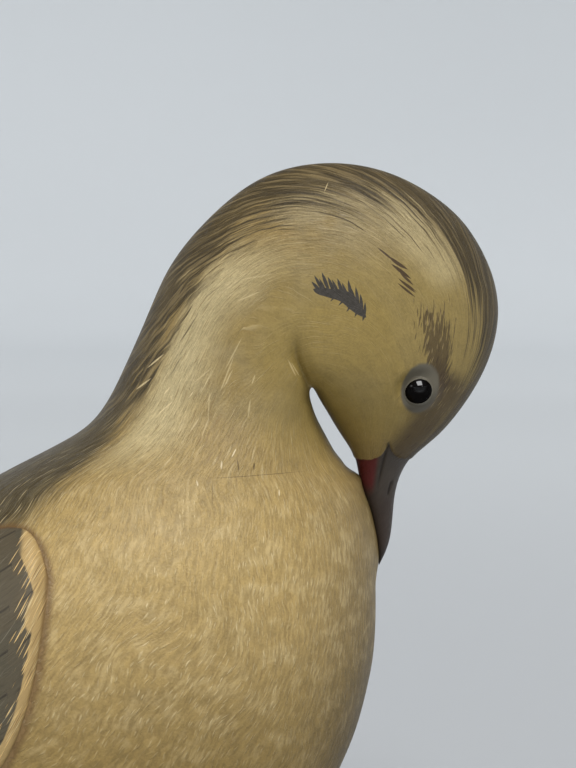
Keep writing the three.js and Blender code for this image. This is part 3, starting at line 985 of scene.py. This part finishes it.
def comb(surface, slope, fade, drift):
    """Lays the strokes: how steeply they leave the back line, how that fades sideways, and how they wander."""
    side = abs(surface.around) / (GIRTH / 2)
    spread = abs(surface.around) * (0.42 + soft(side, 0.0, 0.5) * 0.58)
    run = soft(surface.along, 0, 130) * 115
    surface.lie = spread - run * slope * (1 - soft(side, 0.25, 1.0) * fade) + drift
    return side


def buff_ground(s, paint, side, grain, fine):
    """The buff of neck, cheek, breast and belly, with its broad changes of tone, painted highlights beside the nape
    and on the brow, and painted shade low down and at the front.
    """
    patch = s.cloud(16, 2.0, 1.0)
    cheek_off = s.at((s.x - 68) * 0.75, 0.0, s.z - 101)
    cheek_far = cheek_off.node("VectorMath", {"operation": "LENGTH"}, {0: cheek_off}, ("Value",))
    on_cheek = 1 - soft(cheek_far + patch * 6, 13, 25)
    low = 1 - soft(s.z + patch * 10, 24, 68)
    neck = soft(s.z + patch * 8, 74, 100)
    # The belly colour low down is darker than the breast's, partly as painted shade of the underside.
    ground = over(paint.breast, paint.belly, low)
    ground = over(ground, paint.neck, neck)
    ground = over(ground, paint.cheek, on_cheek)
    wash = soft(s.cloud(9, 2.0, 9.0) + soft(s.along, 40, 60) * 0.3, 0.45, 0.7) * soft(s.z, 86, 98)
    ground = over(ground, paint.grey_wash, wash * 0.6 * (1 - on_cheek * 0.8))
    # Painted highlights: a pale band beside the dark of the nape and a pale patch on the brow, where the lamp's sheen
    # falls.
    painted_sheen_band = soft(side, 0.25, 0.33) * (1 - soft(side, 0.36, 0.52)) * soft(s.along, -2, 12)
    painted_brow_sheen = near_path(s, (71.0, 121.0), (77.5, 113.5), 2.6, 2.2)
    ground = over(ground, paint.sheen, painted_sheen_band * (1 - soft(s.along, 34, 48)) * 0.8)
    ground = over(ground, paint.sheen, painted_brow_sheen * 0.45)
    tress = s.streaks(10.0, 3.0, 7.0)
    blotch = s.cloud(1.9, 2.0, 17.0)
    # Painted shade: the buff darkens towards the bottom, and towards the front of the breast below the neck, where
    # less light falls.
    under = 0.5 + soft(s.z, 24, 80) * 0.5 - soft(s.x, 53, 70) * (1 - soft(s.z, 76, 86)) * 0.47
    tone = 0.51 + tress * 0.16 + blotch * 0.34 + grain * 0.14 + 0.1 + (fine - 0.5) * 0.2 * (1 - on_cheek * 0.8)
    return shaded(ground, tone * under), on_cheek


def tufts_of(surface):
    """How far a place lies in one of the pale clusters of the breast."""
    cover = None
    for x, z, wide, tall in PALE_TUFTS:
        off = surface.at((surface.x - x) / wide, 0.0, (surface.z - z) / tall)
        far = off.node("VectorMath", {"operation": "LENGTH"}, {0: off}, ("Value",))
        near = 1 - soft(far, 0.2, 1.4)
        cover = near if cover is None else cover.math("MAXIMUM", near)
    return cover


def plumage(surface, paint, tufts=0.0):
    """The painted feathers of head, neck and breast: their colour and how high the brush left it."""
    s = surface
    bend = (s.cloud(14, 1.0, 4.0) - 0.5) * 5
    waver = s.cloud(3.5, 1.0, 5.0) - 0.5
    side = comb(s, 0.5, 0.85, bend + waver)
    grain = soft(s.cloud(0.34, 3.0, 2.0), 0.3, 0.7)
    fine = soft(s.streaks(2.4, 0.4, 2.0), 0.32, 0.68)
    tress = soft(s.streaks(9.0, 3.0, 13.0), 0.34, 0.66)
    ground, on_cheek = buff_ground(s, paint, side, grain, fine)
    on_neck = soft(s.along, -8, 6)
    calm = 1 - on_cheek * 0.8
    fold_off = s.at(s.x - 56, 0.0, s.z - 98)
    fold_far = fold_off.node("VectorMath", {"operation": "LENGTH"}, {0: fold_off}, ("Value",))

    # Short fine strokes on the breast, and long soft ones on the neck with thin bright ones among them.
    pale, pale_tone = strokes(s, (2.2, 0.5), 0.26, 1.0, 0.0)
    dull, dull_tone = strokes(s, (2.6, 0.62), 0.26, 0.9, 11.7)
    broad, broad_tone = strokes(s, (5.5, 2.0), 0.2, 0.95, 51.0, wander=0.4)
    low, low_tone = strokes(s, (5.0, 1.8), 0.22, 0.9, 57.0, wander=0.4)
    thin, thin_tone = strokes(s, (4.8, 1.7), 0.085, 0.9, 19.1, wander=0.6)
    patches = soft(s.cloud(3, 3.0, 6.0) + tufts * 0.22, 0.46, 0.66) * (0.3 + soft(s.z, 25, 65) * 0.7)
    long_share = (0.2 + on_neck * 0.8) * calm * soft(fold_far, 7, 16)
    ground = over(ground, paint.soft_hair, dull * (0.14 + dull_tone * 0.3) * calm)
    ground = over(ground, paint.soft_hair, low * (0.2 + low_tone * 0.5) * long_share)
    ground = over(ground, paint.pale_hair, broad * (0.1 + broad_tone * 0.35) * long_share)
    lit = 0.4 + soft(s.z, 35, 68) * 0.9 - soft(s.x, 50, 64) * 0.4
    short_share = (0.45 + patches * 0.55) * (1 - on_neck * 0.6) * calm * lit
    ground = over(ground, paint.pale_hair, pale * (0.3 + pale_tone * 0.4) * short_share)
    ground = over(ground, paint.pale_hair, patches * (1 - on_neck) * (0.05 + fine * 0.2))
    ground = over(ground, paint.pale_hair, thin * (0.3 + thin_tone * 0.5) * (0.1 + on_neck * 0.9) * calm)

    # The dark of crown, nape and mantle, combed into the buff, with its light hair.
    on_mantle = 1 - soft(s.along, 5, 24)
    comb(s, 1.0, 0.0, bend + waver * (3 - on_mantle * 2.2))
    low_hair, low_tone = strokes(s, (9.0, 3.4), 0.3, 0.95, 43.0, wander=0.4)
    hair, hair_tone = strokes(s, (8.0, 2.9), 0.34, 1.0, 2.9, wander=0.4)
    more_hair, more_tone = strokes(s, (6.0, 1.9), 0.15, 0.9, 8.3, wander=0.4)
    back_hair, back_tone = strokes(s, (5.5, 0.95), 0.18, 0.95, 87.0, wander=0.3)
    on_head = soft(s.streaks(6.5, 1.0, 63.0, 1.0) * 0.45 + s.streaks(7.5, 2.6, 64.0, 1.0) * 0.55, 0.4, 0.58)
    on_back = soft(s.streaks(6.0, 0.27, 69.0), 0.36, 0.64)
    ribbons = on_head + on_mantle * (on_back - on_head)
    bright = soft(s.streaks(6.0, 1.5, 75.0, 1.0), 0.5, 0.68)
    stray = (tress - 0.5) * 0.03 - (ribbons - 0.5) * 0.05
    inside = graph(s.along, BACK_BAND) - side + stray * (1 - on_mantle * 0.6)
    spill = 1 - on_mantle * 0.9
    dark = soft(inside + (low_hair * (0.03 + low_tone * 0.08) - hair * 0.07) * spill, -0.05, 0.05)
    front = soft(s.along, 66, 92)
    shade = (grain * 0.15 + ribbons * 0.75 + fine * 0.1 - front * 0.3).clipped()
    dark_ground = over(paint.crown_deep, over(paint.crown, paint.mantle, on_mantle), shade)
    dark_ground = over(dark_ground, paint.crown_deep, low_hair * spill * 0.5)
    light_share = (hair * hair_tone * 0.3 + bright * 0.38) * (1 - front * 0.5) * (1 - on_mantle)
    dark_ground = over(dark_ground, paint.crown_hair, light_share.clipped())
    dark_ground = over(dark_ground, paint.crown_hair, more_hair * (0.1 + more_tone * 0.6) * (1 - on_mantle))
    tint = over(ground, dark_ground, dark * 0.95)
    by_dark = soft(inside, -0.06, 0.0) * (1 - soft(inside, 0.05, 0.2) * 0.7)
    tint = over(tint, paint.pale_hair, back_hair * (0.1 + back_tone * 0.6) * on_mantle * by_dark)
    tint = over(tint, paint.pale_hair, marks(s, NECK_HAIR) * 0.8)
    tint = over(tint, paint.pale_hair, marks(s, SOFT_NECK_HAIR) * 0.4)
    tint = over(tint, linear(226, 206, 166), marks(s, PALE_NICKS) * 0.9)
    tint = over(tint, linear(62, 44, 26), marks(s, DARK_NICKS) * 0.6)
    near_back = 1 - soft(side, 0.22, 0.36)
    height = grain * 0.3 + fine * 0.3 + pale * 0.4 + thin * on_neck * 0.6
    height = height * (0.2 + calm * 0.8) + (hair + more_hair) * near_back * 0.7
    return tint, height


def paint_wire(surface, tint):
    """A fixed colour as a wire, for the shades that are worked out from it."""
    return surface.place.node("CombineXYZ", None, {0: tint[0], 1: tint[1], 2: tint[2]})


def face_marks(surface, paint, tint):
    """The painted marks of the face over the plumage."""
    s = surface
    s.along = s.z * -1.1
    s.lie = s.x - graph(s.z, FACE_LEAN)
    flank = soft(abs(s.y), 5.0, 6.5)
    grain = s.cloud(0.4, 3.0, 45.0)

    # Dark hair behind the eye, and the dark of the lores down to the bill.
    hair, hair_tone = strokes(s, (3.0, 0.8), 0.3, 0.95, 31.0, wander=0.5)
    light, light_tone = strokes(s, (2.3, 0.66), 0.2, 1.0, 37.0, wander=0.6)
    clumps = s.streaks(3.2, 0.32, 39.0)
    frayed = (clumps - 0.5) * (3 + soft(s.z, 101, 107) * 7) + hair * 0.3
    back_edge = s.x - graph(s.z, EYE_DARK_BACK) + frayed
    front_edge = graph(s.z, EYE_DARK_FRONT) - s.x + frayed
    solid = 1 - soft(s.z + (clumps - 0.5) * 5, 98.0, 101.0)
    height = (1 - soft(s.z - (clumps - 0.5) * 14 - hair, 105.0, 107.0)) * soft(s.z, 93, 96)
    behind_eye = soft(back_edge, -0.2, 0.5) * soft(front_edge, -0.2, 0.4) * height
    lores = near_path(s, (78.6, 95.0), (72.0, 85.5), 2.5, 1.6)
    tint = over(tint, paint.face, behind_eye * (0.74 + hair * 0.1 + solid * 0.16))
    tint = over(tint, paint.face, lores * (0.78 + hair * 0.2))
    light_hair = light * (0.5 + light_tone * 0.5)
    tint = over(tint, paint.crown_hair, light_hair * behind_eye * (1 - solid * 0.9))
    on_outline = soft(s.z, 88, 93) * soft(s.x - s.z * 0.6, 18.5, 20)
    tint = over(tint, paint.crown_hair, (light_hair + hair * hair_tone * 0.5).clipped() * lores * on_outline * 0.85)

    # The ear mark, with spikes along its upper edge.
    within = soft(s.x, 57.6, 57.7) * (1 - soft(s.x, 65.5, 65.6))
    mark = soft(graph(s.x, EAR_TOP) - s.z, 0.0, 0.12) * soft(s.z - graph(s.x, EAR_FOOT), 0.0, 0.12) * within * flank
    mark = mark.math("MAXIMUM", marks(s, EAR_HAIR))
    ear_ground = shaded(paint_wire(s, paint.ear_mark), 0.6 + soft(grain, 0.3, 0.7) * 0.5 + s.cloud(0.6, 2.0, 41.0) * 0.5)
    tint = over(tint, ear_ground, mark * 0.96)
    tint = over(tint, paint.slash, marks(s, SLASHES) * 0.9)

    # Bare skin round the eye.
    middle = (EYE_BOX[0] + EYE_BOX[1]) / 2
    off_x, off_z = s.x - middle.x, s.z - middle.z
    slant = math.radians(GLASS_SLANT)
    longways = (off_x * math.cos(slant) + off_z * math.sin(slant)) / GLASS_AXES[0]
    crossways = (off_z * math.cos(slant) - off_x * math.sin(slant)) / GLASS_AXES[1]
    glass = (longways * longways + crossways * crossways) ** 0.5
    ring_x = (off_x - 0.05 - off_z * 0.13) / 3.1
    ring_z = (off_z - 0.4) / 4.15
    ring = (abs(ring_x) ** 2.0 + abs(ring_z) ** 2.0) ** 0.5
    on_ring = 1 - soft(ring + s.cloud(1.2, 2.0, 12.0) * 0.1 - off_x * 0.02, 0.88, 1.04)
    # Painted light: the ring is painted lighter at its top and darker below, as if lit from above.
    painted_lit_ring = shaded(paint_wire(s, paint.eye_ring), 0.82 + soft(off_z, -3, 4) * 0.25)
    tint = over(tint, painted_lit_ring, on_ring * flank)
    rim = soft(glass, 1.0, 1.04) * (1 - soft(glass, 1.05, 1.12))
    tint = over(tint, linear(126, 122, 108), rim * flank * 0.5)
    # Painted shade: the socket sunk under the glass's edge is painted near black, as the shade in the gap round the
    # glass.
    socket = 1 - soft(glass, 0.94, 1.02)
    return over(tint, linear(14, 12, 10), socket * flank), on_ring * flank


def bill_paint(surface, paint, tint):
    """The bare bill below the feathers' edge."""
    s = surface
    edge = s.z - bill_margin(s.x) + (s.cloud(0.6, 2.0, 15.0) - 0.5) * 0.5
    bare = (1 - soft(edge, -0.12, 0.12)) * soft(s.x, 62.5, 63.5)
    brown = 1 - soft(s.z + (s.cloud(2.0, 2.0, 16.0) - 0.5) * 4, 76, 81)
    lower = 1 - soft(s.x - (s.z - 80) * 0.13 - 68.35, -0.15, 0.25)
    ground = over(paint.bill, paint.bill_brown, (brown + lower * 0.35).clipped())
    red = soft(s.z, 77.8, 80.6) * (1 - soft(s.x - (s.z - 80) * 0.1, 67.2, 68.1)) * soft(s.x, 63.5, 65.4)
    ground = over(ground, paint.bill_red, red * 0.85)
    worn = 0.8 + s.streaks(3.0, 0.5, 21.0) * 0.35
    ground = shaded(ground, worn)
    tip = 1 - soft(s.z, 68, 71)
    ground = over(ground, linear(40, 36, 30), tip * 0.6)
    return over(tint, ground, bare), bare


def finish_paint(surface, tint, height, rough, bump, sheen=0.32):
    """Puts colour, roughness and brush relief on one shader."""
    normal = height.node("Bump", None, {"Height": height, "Distance": bump * MM, "Strength": 1.0})
    shader = height.node(
        "BsdfPrincipled",
        None,
        {"Base Color": tint, "Roughness": rough, "Normal": normal, "Specular IOR Level": sheen},
    )
    height.node("OutputMaterial", None, {"Surface": shader}, ())


def new_material(name):
    material = bpy.data.materials.new(name)
    material.use_nodes = True
    return material, Surface(material)


def head_paint(paint):
    material, s = new_material("painted_head")
    tint, height = plumage(s, paint)
    tint, ring = face_marks(s, paint, tint)
    tint, bare = bill_paint(s, paint, tint)
    cut = s.number("cut")
    # Painted shade: the carved mouth line and nostril are darkened near black in step with how deep they are cut.
    tint = over(tint, linear(30, 24, 16), (cut * 0.8).clipped())
    rough = 0.4 + s.cloud(3.0, 3.0, 50.0) * 0.14 - bare * 0.04
    smooth = (1 - ring * 0.8) * (1 - bare * 0.6)
    finish_paint(s, tint, height * smooth, rough, 0.1)
    return material


def breast_paint(paint):
    material, s = new_material("painted_breast")
    tint, height = plumage(s, paint, tufts_of(s))
    crease = s.number("crease")
    # A brown line along the wing's crease, partly paint and partly painted shade in the groove.
    tint = over(tint, linear(108, 80, 48), soft(crease, 0.5, 1.1) * 0.8)
    rough = 0.4 + s.cloud(3.0, 3.0, 50.0) * 0.14
    finish_paint(s, tint, height, rough, 0.1)
    return material


def wing_paint(paint):
    material, s = new_material("painted_wing")
    back, up = s.along, s.around
    left, across, row, number = wing_feathers(back, up)
    spread = abs(across - 0.5)
    barbs = s.at(back / 2.2 - spread * 2.2, up / 0.22)
    barb = back.node("TexNoise", {"noise_dimensions": "2D"}, {"Vector": barbs, "Scale": 1.0, "Detail": 2.0}, ("Fac",))
    own = s.at(number, row)
    tone = own.node("TexWhiteNoise", {"noise_dimensions": "2D"}, {"Vector": own}, ("Value",))
    ground = over(paint.wing, paint.wing_brown, (tone * 0.7 + s.cloud(14, 2.0, 60.0) * 0.6 - 0.15).clipped())
    ground = shaded(ground, 0.62 + barb * 0.5 + tone * 0.12)
    shaft = (1 - soft(spread, 0.015, 0.04)) * soft(left, 0.1, 0.4)
    ground = over(ground, linear(46, 40, 33), shaft * 0.7)
    edge = (1 - soft(left + barb * 0.1 - 0.05, 0.06, 0.17)) * soft(back, 12, 24)
    ground = over(ground, paint.wing_edge, edge * 0.75)

    # The buff front of the wing, which ends in pale hair tips over the dark.
    inward = s.number("inward").math("MINIMUM", (back * back + up * up) ** 0.5)
    hair, hair_tone = strokes(s, (3.2, 1.15), 0.33, 1.0, 71.0, slant=0.95, wander=0.35)
    fine, fine_tone = strokes(s, (2.8, 0.8), 0.26, 0.95, 77.0, slant=0.95, wander=0.4)
    reach = hair * 2.3 + fine * 0.8 + soft(up, -14, -4) * 0.9 - s.cloud(5, 2.0, 62.0) * 1.4
    front = 1 - soft(inward - reach, 3.1, 3.5)
    front = front * (1 - soft(back, 16, 30)) * (1 - soft(back - hair * 1.6, 3.8, 4.8) * soft(up + fine, 3.5, 6))
    gap, gap_tone = strokes(s, (2.8, 0.9), 0.26, 0.95, 83.0, slant=0.95, wander=0.35)
    buff = shaded(paint_wire(s, paint.wing_edge), 0.66 + barb * 0.32 + hair * 0.44)
    buff = over(buff, linear(112, 86, 52), gap * (0.35 + gap_tone * 0.6) * soft(inward, 0.2, 1.2))
    buff = over(buff, paint.pale_hair, fine * (0.4 + fine_tone * 0.6))
    few, few_tone = strokes(s, (5.0, 1.6), 0.1, 0.8, 81.0, slant=0.5)
    ground = over(ground, linear(150, 142, 122), few * few_tone * 0.8)
    tint = over(ground, buff, front)
    crease = s.number("crease")
    # A brown line along the wing's crease, partly paint and partly painted shade in the groove.
    tint = over(tint, linear(108, 80, 48), soft(crease, 0.5, 1.1) * 0.8)
    finish_paint(s, tint, barb * 0.6 + hair * front * 0.6, 0.46 + tone * 0.08, 0.08)
    return material


def tail_paint(paint):
    material, s = new_material("painted_tail")
    strip = abs(s.around) / 4.2
    share = strip - whole(strip)
    barbs = s.at(s.along / 2.6 - abs(share - 0.5) * 1.4, s.around / 0.24)
    barb = barbs.node("TexNoise", {"noise_dimensions": "2D"}, {"Vector": barbs, "Scale": 1.0, "Detail": 2.0}, ("Fac",))
    ground = shaded(paint_wire(s, paint.tail), 0.7 + barb * 0.6)
    edge = soft(share, 0.9, 1.0) + 1 - soft(share, 0.0, 0.06)
    ground = over(ground, paint.wing_edge, edge.clipped() * 0.5)
    shaft = 1 - soft(abs(share - 0.5), 0.02, 0.05)
    ground = over(ground, linear(44, 38, 32), shaft * 0.6)
    finish_paint(s, ground, barb, 0.48 + barb * 0.05, 0.06)
    return material


def glass_paint():
    material, s = new_material("black_glass")
    tint = over(linear(3, 3, 4), linear(12, 8, 6), s.cloud(2.0))
    middle = (EYE_BOX[0] + EYE_BOX[1]) / 2
    shine = s.at(s.x - middle.x - 0.1, 0.0, s.z - middle.z - 1.0)
    far = shine.node("VectorMath", {"operation": "LENGTH"}, {0: shine}, ("Value",))
    shader = tint.node(
        "BsdfPrincipled",
        None,
        {
            "Base Color": tint,
            "Roughness": 0.1,
            "Specular IOR Level": 0.0,
            "Coat Weight": 1 - soft(far, 0.7, 1.3) * 0.9,
            "Coat Roughness": 0.03,
        },
    )
    shader.node("OutputMaterial", None, {"Surface": shader}, ())
    return material


def dress(piece, node):
    """Hangs a finished piece on the root body and hides the part it stands for."""
    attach(piece, "root")
    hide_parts(node)


class DOVE_OT_head(bpy.types.Operator):
    """Carves and paints the neck, the head and the bill in one piece"""

    bl_idname = "dove.head"
    bl_label = "Head"

    def execute(self, context):
        scene = context.scene
        dress(make_head(scene.dove_carving, head_paint(scene.dove_paint)), "head")
        return {"FINISHED"}


class DOVE_OT_body(bpy.types.Operator):
    """Carves and paints the body with its folded wings and tail in one piece"""

    bl_idname = "dove.body"
    bl_label = "Body"

    def execute(self, context):
        paint = context.scene.dove_paint
        paints = breast_paint(paint), wing_paint(paint), tail_paint(paint)
        dress(make_body(context.scene.dove_carving, *paints), "body")
        return {"FINISHED"}


class DOVE_OT_eyes(bpy.types.Operator):
    """Sets a glass ball in each socket"""

    bl_idname = "dove.eyes"
    bl_label = "Eyes"

    def execute(self, context):
        material = glass_paint()
        for node in ("eye_right", "eye_left"):
            low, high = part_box(node)
            bm = bmesh.new()
            bmesh.ops.create_uvsphere(bm, u_segments=64, v_segments=40, radius=(high.x - low.x) / 2)
            bmesh.ops.translate(bm, verts=bm.verts, vec=(low + high) / 2)
            dress(piece_from(bm, "glass_" + node, [material]), node)
        return {"FINISHED"}


class DOVE_OT_stage(bpy.types.Operator):
    """Sets the camera, the lamps and a pale floor that curves up far behind"""

    bl_idname = "dove.stage"
    bl_label = "Stage"

    def execute(self, context):
        stage = context.scene.dove_stage
        place_camera(context.scene, stage)
        place_lights(context.scene, stage)
        make_floor(stage)
        context.scene.view_settings.view_transform = "Standard"
        return {"FINISHED"}


VIEW_MIDDLE = Vector((54.5, 0.0, 95.5)) * MM


def place_camera(scene, stage):
    a, e = stage.azimuth, stage.elevation
    back = Vector((math.sin(a) * math.cos(e), -math.cos(a) * math.cos(e), math.sin(e)))
    camera = bpy.data.objects.new("camera", bpy.data.cameras.new("camera"))
    camera.data.lens = stage.focal_length
    camera.data.clip_start = 0.01
    camera.location = VIEW_MIDDLE + back * stage.distance
    camera.rotation_euler = back.to_track_quat("Z", "Y").to_euler()
    scene.collection.objects.link(camera)
    scene.camera = camera


def place_lights(scene, stage):
    world = bpy.data.worlds.new("room")
    world.use_nodes = True
    light = world.node_tree.nodes["Background"]
    light.inputs["Color"].default_value = (*stage.room, 1)
    light.inputs["Strength"].default_value = stage.room_light
    scene.world = world
    lamps = [
        ("key", (1.0, -3.1, 4.95), 3.3, stage.key_light),
        ("side_lamp", (-3.4, -2.0, 2.2), 1.6, stage.key_light * 0.2),
        ("small_lamp", (0.8, -1.1, 0.85), 0.1, stage.key_light * 0.0005),
    ]
    for name, place, size, power in lamps:
        data = bpy.data.lights.new(name, "AREA")
        data.shape = "SQUARE"
        data.size = size
        data.energy = power
        lamp = bpy.data.objects.new(name, data)
        lamp.location = place
        lamp.rotation_euler = (lamp.location - VIEW_MIDDLE).to_track_quat("Z", "Y").to_euler()
        scene.collection.objects.link(lamp)


def make_floor(stage):
    """A wide floor that turns up into a wall far from the dove, with painted light and shade in its colour."""
    bm = bmesh.new()
    reach, bend, height = 2.0, 0.9, 1.6
    profile = [(0.0, 0.0), (reach, 0.0)]
    profile += [
        (reach + bend * math.sin(turn), bend * (1 - math.cos(turn))) for turn in np.linspace(0, math.pi / 2, 13)[1:]
    ]
    profile.append((reach + bend, height))
    verts = [bm.verts.new((x, 0, z)) for x, z in profile]
    edges = [bm.edges.new(pair) for pair in zip(verts, verts[1:])]
    bmesh.ops.spin(
        bm, geom=[*verts, *edges], cent=(0, 0, 0), axis=(0, 0, 1), angle=2 * math.pi, steps=96, use_merge=True
    )
    bmesh.ops.remove_doubles(bm, verts=bm.verts, dist=1e-5)
    material, s = new_material("pale_floor")
    ground = s.at(s.x, s.y)
    far = ground.node("VectorMath", {"operation": "LENGTH"}, {0: ground}, ("Value",))
    # Painted light and shade: the floor is darker by the dove as painted shade under it, lighter far off and on the
    # bend where less lamp light reaches, and darker up the wall and towards +X on the bend.
    lift = graph(far, [(0, 1.0), (900, 1.0), (1400, 1.09), (2000, 1.12), (2300, 1.09), (2600, 1.02), (2900, 0.98)])
    painted_wall_shade = 1 - soft(s.z, 250, 700) * 0.04 - soft(s.x, -300, 600) * soft(s.z, 100, 400) * 0.05
    tint = shaded(over(stage.floor, stage.wall, soft(far, 80, 900)), lift * painted_wall_shade)
    finish_paint(s, tint, s.cloud(2.0), 0.8, 0.01)
    return piece_from(bm, "floor", [material])


class DOVE_PT_panel(bpy.types.Panel):
    """Lists the dove's pieces, sizes and colours"""

    bl_idname = "DOVE_PT_panel"
    bl_label = "Carved dove"
    bl_space_type = "VIEW_3D"
    bl_region_type = "UI"
    bl_category = "Dove"

    def draw(self, context):
        for operator in PIECES:
            self.layout.operator(operator.bl_idname)
        for group in SETTINGS:
            box = self.layout.box()
            for name in group.__annotations__:
                box.prop(getattr(context.scene, SETTINGS[group]), name)


PIECES = (DOVE_OT_head, DOVE_OT_body, DOVE_OT_eyes, DOVE_OT_stage)
SETTINGS = {DoveCarving: "dove_carving", DovePaint: "dove_paint", DoveStage: "dove_stage"}


def register():
    for cls in (*SETTINGS, *PIECES, DOVE_PT_panel):
        bpy.utils.register_class(cls)
    for group, name in SETTINGS.items():
        setattr(bpy.types.Scene, name, bpy.props.PointerProperty(type=group))


def unregister():
    for name in SETTINGS.values():
        delattr(bpy.types.Scene, name)
    for cls in reversed((*SETTINGS, *PIECES, DOVE_PT_panel)):
        bpy.utils.unregister_class(cls)


def main():
    register()
    bpy.ops.dove.head()
    bpy.ops.dove.body()
    bpy.ops.dove.eyes()
    bpy.ops.dove.stage()


if __name__ == "__main__":
    main()
